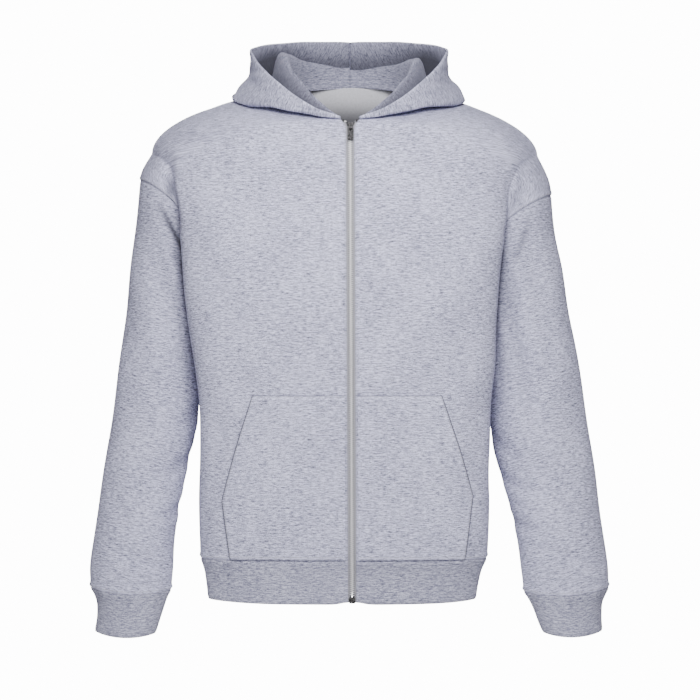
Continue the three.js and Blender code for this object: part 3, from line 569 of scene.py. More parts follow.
def new_material(name):
    material = bpy.data.materials.new(name)
    material.use_nodes = True
    tree = material.node_tree
    tree.nodes.clear()
    output = tree.nodes.new("ShaderNodeOutputMaterial")
    shader = tree.nodes.new("ShaderNodeBsdfPrincipled")
    tree.links.new(shader.outputs["BSDF"], output.inputs["Surface"])
    return material, tree, shader


def add(tree, kind, inputs=(), **settings):
    """One node, with its settings, and its inputs from values or from other nodes' outputs."""
    node = tree.nodes.new(kind)
    for name, value in settings.items():
        setattr(node, name, value)
    for socket, value in dict(inputs).items():
        if isinstance(value, bpy.types.NodeSocket):
            tree.links.new(value, node.inputs[socket])
        else:
            node.inputs[socket].default_value = value
    return node


def math_node(tree, operation, a, b=0.0, c=0.0):
    return add(tree, "ShaderNodeMath", {0: a, 1: b, 2: c}, operation=operation).outputs[0]


def set_inputs(node, **values):
    """Input values by name, with _ for each space."""
    for name, value in values.items():
        node.inputs[name.replace("_", " ")].default_value = value


def in_mm(tree, metres):
    return add(tree, "ShaderNodeMapping", {"Vector": metres, "Scale": [1 / MM] * 3}).outputs[0]


def cloth_place(tree):
    """The place on the cloth, along the courses and down the wales, in millimetres."""
    return in_mm(tree, add(tree, "ShaderNodeUVMap", uv_map="cloth").outputs["UV"])


def solid_place(tree):
    """The place in the object, in millimetres."""
    return in_mm(tree, add(tree, "ShaderNodeTexCoord").outputs["Object"])


def attribute(tree, name):
    return add(tree, "ShaderNodeAttribute", attribute_name=name).outputs["Fac"]


def mixed(tree, share, first, second):
    inputs = {"Fac": share, "Color1": first, "Color2": second}
    return add(tree, "ShaderNodeMixRGB", inputs).outputs["Color"]


def noise(tree, place, size_mm, detail=2.0, roughness=0.5):
    """Noise whose grains are about size_mm across, one number or one for each way."""
    sizes = size_mm if isinstance(size_mm, tuple) else (size_mm, size_mm, size_mm)
    scaled = add(tree, "ShaderNodeMapping", {"Vector": place, "Scale": [1 / s for s in sizes]})
    inputs = {"Vector": scaled.outputs[0], "Scale": 1.0, "Detail": detail, "Roughness": roughness}
    return add(tree, "ShaderNodeTexNoise", inputs).outputs["Fac"]


def ramp(tree, value, stops):
    node = add(tree, "ShaderNodeValToRGB", {"Fac": value})
    elements = node.color_ramp.elements
    while len(elements) < len(stops):
        elements.new(0.5)
    for element, (at, colour) in zip(elements, stops):
        element.position = at
        element.color = linear(colour)
    return node.outputs["Color"]


def weighted(tree, parts):
    """0.5 plus the sum of each noise's swing from the middle times its weight."""
    total = 0.5
    for value, weight in parts:
        swing = math_node(tree, "MULTIPLY", math_node(tree, "SUBTRACT", value, 0.5), weight)
        total = math_node(tree, "ADD", swing, total)
    return total


def bump(tree, shader, height, depth_mm, strength=1.0):
    inputs = {"Height": height, "Distance": depth_mm * MM, "Strength": strength}
    node = add(tree, "ShaderNodeBump", inputs)
    tree.links.new(node.outputs["Normal"], shader.inputs["Normal"])


# %% Cloth materials
# How far the painted highlight lifts the streak tone, and how far the painted shade mixes the colour towards
# the shadow tone.
PAINTED_HIGHLIGHT_TONE, PAINTED_SHADE_TONE = 0.55, 0.8


def heather(name, shadow, dark, middle, light, rib_pitch=0.0, contrast=1.0, lining=False):
    """Melange knit: slub streaks along the courses, speckle, fine wales, a soft nap, and painted shade and
    highlight.
    """
    material, tree, shader = new_material(name)
    place = cloth_place(tree)
    wander = math_node(tree, "SUBTRACT", noise(tree, place, 20.0), 0.5)
    bend = math_node(tree, "MULTIPLY", wander, 4.0)
    shift = add(tree, "ShaderNodeCombineXYZ", {"Y": bend}).outputs[0]
    bent = add(tree, "ShaderNodeVectorMath", {0: place, 1: shift}, operation="ADD").outputs[0]
    slub = noise(tree, bent, (6.0, 1.2, 1.0), detail=2.0, roughness=0.6)
    long_slub = noise(tree, bent, (16.0, 2.0, 1.0), detail=1.0)
    speckle = noise(tree, place, 1.2, detail=2.0, roughness=0.7)
    patch = noise(tree, place, 70.0, detail=1.0)
    weights = [(slub, 2.3), (long_slub, 1.1), (speckle, 2.1), (patch, 0.3)]
    tone = weighted(tree, [(value, weight * contrast) for value, weight in weights])
    # Painted shade and highlight: below zero the attribute lifts the streak tone as a painted highlight,
    # above zero it mixes the colour towards the shadow tone as painted shade.
    crease = attribute(tree, "crease")
    painted_highlight = math_node(tree, "MULTIPLY", math_node(tree, "MINIMUM", crease, 0.0), PAINTED_HIGHLIGHT_TONE)
    tone = math_node(tree, "SUBTRACT", tone, painted_highlight)
    painted_shade_share = math_node(tree, "MULTIPLY", math_node(tree, "MAXIMUM", crease, 0.0), PAINTED_SHADE_TONE)
    colour = ramp(tree, tone, [(0.0, shadow), (0.1, dark), (0.5, middle), (0.78, light)])
    # The lining also mixes towards the shadow tone by its painted depth shade.
    if lining:
        painted_shade_share = math_node(tree, "ADD", painted_shade_share, attribute(tree, "depth"))
    colour = mixed(tree, painted_shade_share, colour, linear(shadow))
    tree.links.new(colour, shader.inputs["Base Color"])
    split = add(tree, "ShaderNodeSeparateXYZ", {"Vector": place})
    wale_turn = math_node(tree, "MULTIPLY", split.outputs["X"], 2 * math.pi / (rib_pitch or 1.15))
    wale = math_node(tree, "SINE", wale_turn)
    fuzz = noise(tree, place, 0.8, detail=3.0, roughness=0.7)
    height = math_node(tree, "MULTIPLY_ADD", wale, 0.5 if rib_pitch else 0.12, fuzz)
    height = math_node(tree, "MULTIPLY_ADD", slub, 0.5, height)
    bump(tree, shader, height, 0.32 if rib_pitch else 0.26)
    set_inputs(shader, Roughness=0.92, Specular_IOR_Level=0.18)
    set_inputs(shader, Sheen_Weight=0.22, Sheen_Roughness=0.55, Sheen_Tint=linear(light))
    return material


def brushed_inside(name, deep, middle, light):
    """The napped inside of the fleece: a pale lofty pile in small tufts, mixed towards its deep colour by
    painted depth shade.
    """
    material, tree, shader = new_material(name)
    place = cloth_place(tree)
    tuft = noise(tree, place, 3.2, detail=4.0, roughness=0.65)
    lint = noise(tree, place, 0.9, detail=2.0)
    tone = weighted(tree, [(tuft, 0.8), (lint, 0.5)])
    pile = ramp(tree, tone, [(0.2, middle), (0.8, light)])
    colour = mixed(tree, attribute(tree, "depth"), pile, linear(deep))
    tree.links.new(colour, shader.inputs["Base Color"])
    bump(tree, shader, math_node(tree, "ADD", tuft, lint), 0.5)
    set_inputs(shader, Roughness=0.97, Specular_IOR_Level=0.1)
    set_inputs(shader, Sheen_Weight=0.35, Sheen_Roughness=0.6)
    return material


def woven_tape(name, dark, light):
    """The zip tape's close herringbone weave, darkened towards a shadow tone by its painted shade attribute.
    """
    material, tree, shader = new_material(name)
    place = cloth_place(tree)
    split = add(tree, "ShaderNodeSeparateXYZ", {"Vector": place})
    zigzag = math_node(tree, "PINGPONG", split.outputs["X"], 1.5)
    slant = math_node(tree, "ADD", split.outputs["Y"], zigzag)
    twill = math_node(tree, "SINE", math_node(tree, "MULTIPLY", slant, 2 * math.pi / 0.7))
    lint = noise(tree, place, 0.7)
    tone = math_node(tree, "MULTIPLY_ADD", twill, 0.22, weighted(tree, [(lint, 0.6)]))
    tone = math_node(tree, "SUBTRACT", tone, attribute(tree, "crease"))
    colour = ramp(tree, tone, [(0.0, "#4e4d52"), (0.25, dark), (0.8, light)])
    tree.links.new(colour, shader.inputs["Base Color"])
    bump(tree, shader, twill, 0.12)
    set_inputs(shader, Roughness=0.8, Sheen_Weight=0.15)
    return material


def sewing_thread(name, dark, light):
    """Spun thread, lighter on the twist."""
    material, tree, shader = new_material(name)
    twist = noise(tree, solid_place(tree), 0.5, detail=2.0)
    tree.links.new(ramp(tree, twist, [(0.3, dark), (0.7, light)]), shader.inputs["Base Color"])
    bump(tree, shader, twist, 0.1)
    set_inputs(shader, Roughness=0.75, Sheen_Weight=0.2)
    return material


# %% Metal materials
def polished_metal(name, dark, light, roughness, metallic=1.0):
    """Cast and tumbled zip metal: fine scratches, and a duller tone in patches."""
    material, tree, shader = new_material(name)
    place = solid_place(tree)
    scratch = noise(tree, place, (0.25, 2.2, 2.2), detail=3.0, roughness=0.7)
    tarnish = noise(tree, place, 2.0)
    tree.links.new(ramp(tree, tarnish, [(0.3, dark), (0.7, light)]), shader.inputs["Base Color"])
    rough = math_node(tree, "MULTIPLY_ADD", scratch, 0.25, roughness)
    tree.links.new(rough, shader.inputs["Roughness"])
    bump(tree, shader, scratch, 0.02)
    set_inputs(shader, Metallic=metallic)
    return material


# The first tone of each heather is the shadow colour that its painted shade mixes towards.
FLEECE_TONES = ("#44444f", "#8d8da4", "#a5a5c1", "#dedefa")
FLEECE_FACE = heather("heather_fleece", *FLEECE_TONES)
LINING_FACE = heather("heather_lining", *FLEECE_TONES, lining=True)
RIB_TONES = ("#40404e", "#7d7d93", "#9696af", "#d1d1e6")
RIB_FACE = heather("heather_rib", *RIB_TONES, rib_pitch=2.1, contrast=0.85)
# The first colour of the inside is the dark that its painted depth shade mixes towards.
INSIDE = brushed_inside("brushed_fleece_inside", "#46454c", "#c2c1c9", "#e4e4ed")
TAPE_FACE = woven_tape("zip_tape_weave", "#8f8e97", "#bcbbc4")
THREAD = sewing_thread("topstitch_thread", "#a3a3b2", "#cbcbd8")
TEETH_METAL = polished_metal("zip_teeth_metal", "#dddce0", "#f8f7fa", 0.35, metallic=0.25)
NICKEL = polished_metal("dark_nickel", "#121212", "#6a696b", 0.18)
print("materials:", len(bpy.data.materials))

# %% [markdown]
# ## From grid to sheet
#
# The grid becomes a mesh with a UV map in real cloth distances. Solidify, applied, gives it the
# cloth's thickness, with the inside as a second material.


# %% Making a sheet
sheets, surfaces = {}, {}


def mesh_from(name, grids, flips, uvs, closed=False, **attributes):
    """One mesh from one or more grids, with a UV map called cloth and an attribute for each painted shade.
    """
    points, faces, loop_uv = [], [], []
    for grid, flip, uv in zip(grids, flips, uvs):
        rows, columns = grid.shape[:2]
        base = sum(len(p) for p in points)
        index = base + np.arange(rows * columns).reshape(rows, columns)
        if closed:
            index[:, -1] = index[:, 0]
        a, b = index[:-1, :-1], index[:-1, 1:]
        c, d = index[1:, 1:], index[1:, :-1]
        quads = np.stack([a, b, c, d], -1).reshape(-1, 4)
        corner = np.stack([uv[:-1, :-1], uv[:-1, 1:], uv[1:, 1:], uv[1:, :-1]], 2).reshape(-1, 4, 2)
        if flip:
            quads, corner = quads[:, ::-1], corner[:, ::-1]
        points.append(grid.reshape(-1, 3))
        faces.append(quads)
        loop_uv.append(corner)
    mesh = bpy.data.meshes.new(name)
    mesh.from_pydata((np.concatenate(points) * MM).tolist(), [], np.concatenate(faces).tolist())
    layer = mesh.uv_layers.new(name="cloth")
    layer.data.foreach_set("uv", (np.concatenate(loop_uv) * MM).ravel().astype(np.float32))
    for label, shades in attributes.items():
        values = np.concatenate([shade.ravel() for shade in shades]).astype(np.float32)
        mesh.attributes.new(label, "FLOAT", "POINT").data.foreach_set("value", values)
    mesh.validate()
    return mesh


def object_from(name, mesh, materials):
    piece = bpy.data.objects.new(name, mesh)
    bpy.context.scene.collection.objects.link(piece)
    for material in materials:
        piece.data.materials.append(material)
    bpy.ops.object.select_all(action="DESELECT")
    piece.select_set(True)
    bpy.context.view_layer.objects.active = piece
    return piece


def weld(piece, distance_mm):
    """Joins the points that lie on each other, where two grids of one piece meet."""
    bpy.ops.object.mode_set(mode="EDIT")
    bpy.ops.mesh.select_all(action="SELECT")
    bpy.ops.mesh.remove_doubles(threshold=distance_mm * MM)
    bpy.ops.object.mode_set(mode="OBJECT")


def sheet(name, grids, flips, thick, materials, uvs, creases, depths=None, closed=False):
    """A finished sheet of cloth for a node of the frame, and the size it was cut to."""
    depths = depths or [inside_depth(grid) for grid in grids]
    mesh = mesh_from(name, grids, flips, uvs, closed, crease=creases, depth=depths)
    piece = object_from(f"cloth_{name}", mesh, materials)
    weld(piece, 0.25)
    area = sum(face.area for face in piece.data.polygons)
    wall = piece.modifiers.new("thickness", "SOLIDIFY")
    wall.thickness = thick * MM
    wall.offset = 0
    wall.use_even_offset = False
    wall.material_offset = 1 if len(materials) > 1 else 0
    bpy.ops.object.modifier_apply(modifier=wall.name)
    bpy.ops.object.shade_smooth_by_angle(angle=math.radians(50))
    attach(piece, GARMENT)
    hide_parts(name)
    width = sum(float(arc_from(grid, 1)[:, -1].max()) for grid in grids) * MM
    length = max(float(arc_from(grid, 0)[-1].max()) for grid in grids) * MM
    piece["flat"] = [round(width, 3), round(length, 3), round(area, 4)]
    print(piece.name, "flat", list(piece["flat"]), "faces", len(piece.data.polygons))
    sheets[name] = piece


def cloth_uv(grid, sign=1.0, start=0.0):
    """Distances along the rows and down the columns, as the UV map."""
    return np.stack([sign * (start + arc_from(grid, 1)), -arc_from(grid, 0)], -1)


# %% [markdown]
# ## The fronts and the back
#
# The relief fades out beside the seams, where two pieces have to meet. At the hem both pieces
# share the same small gathers.

# %% Fronts and back
HEM_GATHER_PITCH, HEM_GATHER_DEEP = 31, 0.9
HEM_ZIP_RISE, HEM_ZIP_REACH = 3.2, 13
PUCKER_PITCH, PUCKER_DEEP = 24, 0.5
# Where the painted highlight lies beside a seam, and how wide it is.
SEAM_HIGHLIGHT_BAND = (2.4, 1.3)


def hem_gathers(grid, from_hem):
    return gathers(grid, HEM_GATHER_PITCH, HEM_GATHER_DEEP) * np.exp(-from_hem / 16)


def body_panel(side, facing, folds, flip):
    grid = half_body(side, facing)
    normals = normals_of(grid, flip)
    if facing > 0:
        middle = LEVELS < NECK_LEVEL
        normals[middle, 0, 0] = 0
        normals[:, 0] = unit(normals[:, 0])
    from_start, from_end = arc_from(grid, 1), arc_from(grid, 1, end=True)
    from_hem, from_top = arc_from(grid, 0), arc_from(grid, 0, end=True)
    relief = panel_relief(grid, folds)
    fold_painted_shade = fold_shade(-relief)
    relief *= faded(from_end, 18) * faded(from_hem, 26) * faded(from_top, 16)
    if facing < 0:
        relief *= faded(from_start, 22)
        pucker = np.sin(2 * np.pi * grid[..., 2] / PUCKER_PITCH + 1.4 * np.sin(grid[..., 2] * 0.03))
        relief += PUCKER_DEEP * pucker * np.exp(-from_start / 9) * faded(from_hem, 20)
        relief += 0.5 * np.exp(-(((from_start - 2.4) / 2.6) ** 2))
    relief += hem_gathers(grid, from_hem) * faded(from_end, 12)
    relief += seam(from_hem, ridge=1.3, ridge_at=4.5)
    upper = (LEVELS > 0)[:, None]
    relief += np.where(upper, seam(from_end, ridge=0.8), seam(from_end, ridge=0.1) * 0.5)
    relief += seam(from_top, groove=0.3, ridge=0.3)
    # Painted shade: shadow along the hem, side, armhole and neck seams, in the deepest folds and over the
    # turned-in shoulder cap, and a painted highlight where the allowance lifts the cloth above the hem and
    # beside the armhole. The fronts also get a painted shadow line at the zip edge and a soft painted shadow
    # below the hood.
    shade = 0.3 * pressed(from_hem) + np.where(upper, 0.75, 0.5) * pressed(from_end)
    shade += 0.1 * pressed(from_top) - 0.6 * raised(from_hem, *SEAM_HIGHLIGHT_BAND) + fold_painted_shade
    shade -= np.where(upper, 0.15, 0) * raised(from_end)
    shade += np.where(upper, 0.12, 0) * faded(ACROSS - ARC_SHARE, 0.08)
    if facing < 0:
        shade += 0.35 * pressed(from_start, 0.9) + 0.3 * pressed(from_top, 42)
    return grid + normals * relief[..., None], normals, shade


for name, side in SIDES.items():
    flip = side.sign < 0
    panel, normals, shade = body_panel(side, -1, FRONT_FOLDS, flip)
    surfaces[f"front_{name}"] = (panel, normals)
    uv = cloth_uv(panel, side.sign, ZIP_HALF_GAP)
    cloth = [FLEECE_FACE, INSIDE]
    sheet(f"front_{name}", [drawn_back(panel)], [flip], FLEECE, cloth, [uv], [shade])

back_halves, back_uvs, back_creases = [], [], []
for name, side in SIDES.items():
    panel, normals, shade = body_panel(side, 1, BACK_FOLDS, side.sign > 0)
    surfaces[f"back_{name}"] = (panel, normals)
    trimmed = drawn_back(panel)
    centre = LEVELS <= NECK_LEVEL
    trimmed[centre, 0] = panel[centre, 0]
    trimmed[centre, 0, 0] = 0
    back_halves.append(trimmed)
    back_creases.append(shade)
    off_centre = side.sign * np.abs(panel[:, :1, 0])
    back_uvs.append(cloth_uv(panel, side.sign) + np.stack([off_centre, 0 * off_centre], -1))
sheet("back", back_halves, [False, True], FLEECE, cloth, back_uvs, back_creases)

# %% [markdown]
# ## The rib hem
#
# One band from zip to zip round the back. It draws in below the seam, and its free edge is a fold.


# %% Hem
def rib_edges(from_seam, from_edge):
    """The relief of a rib band at its seam and at its folded free edge."""
    return seam(from_seam, ridge=0.2) - 0.9 * pressed(from_edge, 2.2)


def hem_panel():
    down = steps(16, fine_start=True)
    z = mix(HEM_SEAM_Z, HEM_EDGE_Z, down)
    quarters = []
    for side, facing in (("right", -1), ("right", 1), ("left", 1), ("left", -1)):
        reverse = (side == "right") == (facing > 0)
        lines = lower_lines(SIDES[side], z, facing)
        quarter = rows_across(lines, ACROSS)
        share = np.abs(quarter[..., 0] / lines[1][:, :1])
        quarter[..., 2] += down[:, None] * HEM_SIDE_RISE * share**HEM_RISE_LATE
        if facing < 0:
            from_zip = np.abs(quarter[..., 0] - lines[0][:, :1])
            quarter[..., 2] += down[:, None] * HEM_ZIP_RISE * pressed(from_zip, HEM_ZIP_REACH)
        quarter = quarter[:, ::-1] if reverse else quarter
        quarters.append(quarter if not quarters else quarter[:, 1:])
    grid = np.concatenate(quarters, 1)
    normals = normals_of(grid, False)
    from_seam, from_edge = arc_from(grid, 0), arc_from(grid, 0, end=True)
    relief = hem_gathers(grid, from_seam) + rib_edges(from_seam, from_edge)
    relief += 0.5 * np.sin(grid[..., 0] * 0.05 + 1.0) * faded(from_seam, 30)
    # The second value is painted shadow at the seam and along the folded edge.
    return grid + normals * relief[..., None], 0.5 * pressed(from_seam) + 0.2 * pressed(from_edge)


panel, shade = hem_panel()
rib = [RIB_FACE, RIB_FACE]
sheet("hem_rib", [drawn_back(panel)], [False], RIB_KNIT, rib, [cloth_uv(panel)], [shade])

# %% [markdown]
# ## Sleeves and cuffs
#
# Rings round the arm, from the drop-shoulder seam to the wrist. Folds lie mostly on the inner
# side, where the cloth is slack, and the sleeve is gathered a little into its cuff.


# %% Sleeves and cuffs
def arm_rings(side, rows, at, round_, bow, pinch=0.0):
    count = np.arange(len(rows["y"]), dtype=float)
    row = {name: curve(count, rows[name])(at)[:, None] for name in rows}
    share = ((1 + np.cos(round_)) / 2)[None, :]
    shrink = 1 - pinch / row["deep"]
    outward = mix(row["in_x"], row["out_x"], 0.5 + (share - 0.5) * shrink)
    ahead = np.sin(round_)[None, :]
    z = mix(row["in_z"], row["out_z"], share) + bow[:, None] * ahead**2
    return vec(side.sign * outward, row["y"] - row["deep"] * ahead * shrink, z)


def sleeve_panel(side, name):
    top, low = side.shoulder, side.underarm
    head_y = (top[1] + low[1]) / 2
    head = [top[0], top[2], low[0], low[2], head_y, side.seam_depth]
    head = dict(zip(ARM_COLUMNS.split(), head))
    rows = {key: np.concatenate([[head[key]], side.sleeve[key]]) for key in head}
    down = steps(118, fine_start=True, fine_end=True)
    round_ = np.linspace(0, 2 * np.pi, 85)
    folds = SLEEVE_FOLDS[name]
    degrees, share_down = np.degrees(round_)[None, :], down[:, None]
    pinch = -troughs(
        degrees * FOLD_ROUND,
        share_down * FOLD_DOWN,
        folds,
        folds["from_round"] * FOLD_ROUND,
        folds["from_down"] * FOLD_DOWN,
        folds["to_round"] * FOLD_ROUND,
        folds["to_down"] * FOLD_DOWN,
    )
    pinch *= faded(share_down * FOLD_DOWN, 22) * faded((1 - share_down) * FOLD_DOWN, 30)
    bow = side.seam_bow * np.maximum(0, 1 - down / BOW_SHARE)
    bow = bow + CUFF_SEAM_DIP * np.maximum(0, 1 - (1 - down) / BOW_SHARE)
    grid = arm_rings(side, rows, down * (len(rows["y"]) - 1), round_, bow, pinch)
    tilt = (top[1] - low[1]) * np.cos(round_)[None, :] / 2
    grid[..., 1] += tilt * np.maximum(0, 1 - share_down * 12)
    return grid, round_, fold_shade(pinch)


def relieve_arm(grid, flip, from_cuff, puckered):
    """Outward normals, and the gathers at the cuff seam."""
    normals = normals_of(grid, flip, closed=True)
    lobes = np.arange(grid.shape[1]) / (grid.shape[1] - 1) * 2 * np.pi
    wave = np.sin(9 * lobes + 0.8 * np.sin(2 * lobes)) + 0.5 * np.sin(16 * lobes + 1)
    relief = puckered * 0.7 * wave[None, :] * np.exp(-from_cuff / 15)
    return normals, relief


# Painted shadow between a sleeve and the body: a narrow dark line and a soft band, by the distance outside
# the body's side, fading out down towards GAP_LOW.
GAP_LINE, GAP_LINE_WIDE, GAP_SOFT, GAP_SOFT_WIDE, GAP_LOW = 0.9, 5, 0.3, 26, -520
# Painted shadow lines along the armpit creases, by x and z.
ARM_CREASE_SHADOWS = table(
    "from_x from_z to_x to_z deep wide",
    (-262, -164, -234, -222, 1.1, 4.5),
    (250, -178, 230, -240, 0.5, 5),
)
for name, side in SIDES.items():
    flip = side.sign < 0
    grid, round_, fold_painted_shade = sleeve_panel(side, name)
    from_top, from_cuff = arc_from(grid, 0), arc_from(grid, 0, end=True)
    normals, relief = relieve_arm(grid, flip, from_cuff, 1.0)
    relief += seam(from_top, ridge=0.1) + seam(from_cuff, ridge=1.3, ridge_at=4.5)
    uneven = np.sin(grid[..., 2] * 0.045 + 2 * np.sin(round_)[None, :])
    relief += 0.5 * uneven * faded(from_top, 30) * faded(from_cuff, 30)
    panel = grid + normals * relief[..., None]
    beyond_body = np.abs(grid[..., 0]) - body_section[side.wide](grid[..., 2])
    beyond_body = np.maximum(beyond_body, 0)
    gap_painted_shadow = GAP_LINE * np.exp(-((beyond_body / GAP_LINE_WIDE) ** 2))
    gap_painted_shadow += GAP_SOFT * np.exp(-((beyond_body / GAP_SOFT_WIDE) ** 2))
    gap_painted_shadow *= faded(grid[..., 2] - GAP_LOW, 150)
    ends = [ARM_CREASE_SHADOWS[key] for key in ("from_x", "from_z", "to_x", "to_z")]
    arm_crease = np.maximum(-troughs(grid[..., 0], grid[..., 2], ARM_CREASE_SHADOWS, *ends), 0)
    # Painted shade at the head and cuff seams, in the gap beside the body, along the armpit crease on the
    # front half and in the deepest folds; painted highlight above the cuff seam.
    shade = 0.6 * pressed(from_top) + 0.3 * pressed(from_cuff)
    shade -= 0.6 * raised(from_cuff, *SEAM_HIGHLIGHT_BAND)
    shade += gap_painted_shadow + 0.6 * fold_painted_shade + arm_crease * (np.sin(round_) > 0)
    arm_way = unit(grid[-1].mean(0) - grid[0].mean(0))
    uv = np.stack([arc_from(panel, 1), -(panel @ arm_way)], -1)
    surfaces[f"sleeve_{name}"] = (panel, normals)
    ring = [drawn_back(panel, closed=True)]
    sheet(f"sleeve_{name}", ring, [flip], FLEECE, cloth, [uv], [shade], closed=True)
    rows = {key: np.concatenate([side.sleeve[key][-1:], side.cuff[key]]) for key in side.cuff}
    down = steps(16, fine_start=True)
    bow = np.full(len(down), float(CUFF_SEAM_DIP))
    grid = arm_rings(side, rows, down * (len(rows["y"]) - 1), round_, bow)
    from_seam, from_edge = arc_from(grid, 0), arc_from(grid, 0, end=True)
    normals, relief = relieve_arm(grid, flip, from_seam, 1.0)
    relief += rib_edges(from_seam, from_edge)
    panel = grid + normals * relief[..., None]
    # Painted shadow at the cuff seam and along its folded edge, and the whole cuff a little darker.
    shade = 0.1 + 0.5 * pressed(from_seam) + 0.2 * pressed(from_edge)
    ring = [drawn_back(panel, closed=True)]
    sheet(f"cuff_{name}", ring, [flip], RIB_KNIT, rib, [cloth_uv(panel)], [shade], closed=True)

# %% [markdown]
# ## The hood, lying back
#
# Each half is drawn as sections round the neck seam. A section climbs the stand, drops into the
# groove behind it, lies over the shoulder or hangs behind the nape, and comes back up to the
# face edge. It is kept clear of the body that it lies on.

# %% Hood
HOOD_STEPS = [22, 26, 26, 26, 26]
# Painted shade on the hood lining: on the stand, in the groove behind its crest, at the sides of the crown
# and inside the crown.
HOOD_STAND_SHADE, HOOD_GROOVE_SHADE, HOOD_SIDE_SHADE = 0.29, 0.4, 0.36
HOOD_BAG_SHADE, HOOD_BAG_INNER_SHADE = 0.26, 0.32
hood_curves = curves_of(HOOD_SECTIONS, "round")
body = [pair for name, pair in surfaces.items() if name.startswith(("front", "back"))]
shell_points, shell_normals = (np.concatenate([p.reshape(-1, 3) for p in part]) for part in zip(*body))
shell_tree = kdtree.KDTree(len(shell_points))
for i, point in enumerate(shell_points):
    shell_tree.insert(point, i)
shell_tree.balance()


def clear_of_body(points, gap):
    """Moves points out until they stand off the body by at least the gap."""
    nearest = np.array([shell_tree.find(point)[1] for point in points])
    outward = shell_normals[nearest]
    off = np.einsum("ij,ij->i", points - shell_points[nearest], outward)
    return points + outward * np.maximum(gap - off, 0)[:, None]


def hermite(keys, counts):
    """A smooth path through key points: one row for each of the first axis."""
    last = keys.shape[1] - 1
    slopes = []
    for k in range(last + 1):
        a, b = keys[:, max(k - 1, 0)], keys[:, min(k + 1, last)]
        ways = np.stack([np.linalg.norm(keys[:, k] - other, axis=-1) for other in (a, b)], -1)
        reach = np.where(ways > 0, ways, np.inf).min(-1)
        slopes.append(unit(b - a) * reach[:, None])
    path = [keys[:, :1]]
    for i, count in enumerate(counts):
        t = np.linspace(0, 1, count + 1)[1:][None, :, None]
        t2, t3 = t * t, t * t * t
        part = keys[:, i, None] * (2 * t3 - 3 * t2 + 1) + slopes[i][:, None] * (t3 - 2 * t2 + t)
        path.append(part + keys[:, i + 1, None] * (3 * t2 - 2 * t3) + slopes[i + 1][:, None] * (t3 - t2))
    return np.concatenate(path, 1)


def hood_panel(side):
    share = np.linspace(0, 1, 46)
    turns = np.concatenate([mix(FRONT_NECK_TURN, np.pi / 2, share), mix(np.pi / 2, np.pi, share[1:])])
    round_ = np.linspace(0, 1, len(turns))
    root = neck_point(side, turns)
    aim = turns + HOOD_TILT_BACK * np.sin(np.pi * round_) * (1 - round_)
    keys = [root]
    for key in HOOD_KEYS:
        out = hood_curves[f"{key}_out"](round_)
        up = hood_curves[f"{key}_up"](round_) * (side.crest if key == "crest" else 1)
        x = root[:, 0] + side.sign * np.sin(aim) * out * side.reach
        keys.append(vec(x, root[:, 1] - np.cos(aim) * out, root[:, 2] + up))
    grid = hermite(np.stack(keys, 1), HOOD_STEPS)
    behind = np.clip((round_ - HOOD_BEHIND_FROM) / HOOD_BEHIND_OVER, 0, 1)[:, None]
    near = np.minimum(1, np.linalg.norm(grid - root[:, None], axis=-1) / HOOD_LAY_REACH)
    gap = near * mix(HOOD_LAY_SIDE, HOOD_LAY_BEHIND, behind)
    free = grid[:, HOOD_STEPS[0] + 1 :].reshape(-1, 3)
    for _ in range(3):
        free = clear_of_body(free, gap[:, HOOD_STEPS[0] + 1 :].ravel())
    grid[:, HOOD_STEPS[0] + 1 :] = free.reshape(grid[:, HOOD_STEPS[0] + 1 :].shape)
    return grid


def hood_uv(grid):
    """Courses run along the neck seam on the stand, and across the crown past its crest."""
    along, up = arc_from(grid, 0), arc_from(grid, 1)
    stand = (np.arange(grid.shape[1]) < HOOD_STEPS[0] + 8)[None, :]
    return np.stack([np.where(stand, along, up + 40), np.where(stand, up, along + 60)], -1)


for name, side in SIDES.items():
    flip = side.sign > 0
    grid = hood_panel(side)
    normals = normals_of(grid, flip)
    from_neck, from_edge = arc_from(grid, 1), arc_from(grid, 1, end=True)
    from_front, from_centre = arc_from(grid, 0), arc_from(grid, 0, end=True)
    relief = 0.7 * np.sin(from_neck * 0.06 + 1.5 * np.sin(from_centre * 0.03)) * faded(from_edge, 25)
    relief += 0.5 * np.sin(from_centre * 0.11 + 0.4) * faded(from_neck, 20)
    relief *= faded(from_centre, 14) * faded(from_front, 40) * faded(from_neck, 25)
    relief += seam(from_centre, groove=0.4, ridge=0.3) - 0.6 * np.exp(-((from_edge / 1.8) ** 2))
    panel = grid + normals * relief[..., None]
    # Painted shade: a little over the whole hood and along the centre seam; painted highlight along the face
    # edge and, on the front half, along the stand's crest.
    shade = 0.3 + 0.12 * pressed(from_centre) - 0.3 * raised(from_edge, 1.0, 1.5)
    crest_at = from_neck[:, HOOD_STEPS[0], None]
    round_ = np.linspace(0, 1, len(grid))[:, None]
    shade -= 0.25 * np.exp(-(((from_neck - crest_at) / 2.5) ** 2)) * (round_ < 0.5)
    # Painted shade on the lining: the stand, a dark band in the groove behind its crest, and past the fold
    # the inside of the crown, darker at the sides and away from the face edge.
    column = np.arange(grid.shape[1])[None, :]
    depth = HOOD_STAND_SHADE + HOOD_GROOVE_SHADE * np.exp(-(((column - sum(HOOD_STEPS[:2])) / 20) ** 2))
    past_fold = column > sum(HOOD_STEPS[:3])
    side_shade = HOOD_SIDE_SHADE * np.exp(-(((round_ - 0.72) / 0.09) ** 2))
    bag_shade = (HOOD_BAG_SHADE + side_shade) * faded(from_edge, 16) + HOOD_BAG_INNER_SHADE * faded(from_edge - 12, 26)
    depth = np.where(past_fold, bag_shade, depth)
    sewn = drawn_back(panel)
    sewn[:, 0] = panel[:, 0]
    lined = [FLEECE_FACE, LINING_FACE]
    sheet(f"hood_{name}", [sewn], [flip], HOOD_CLOTH, lined, [hood_uv(panel)], [shade], [depth])

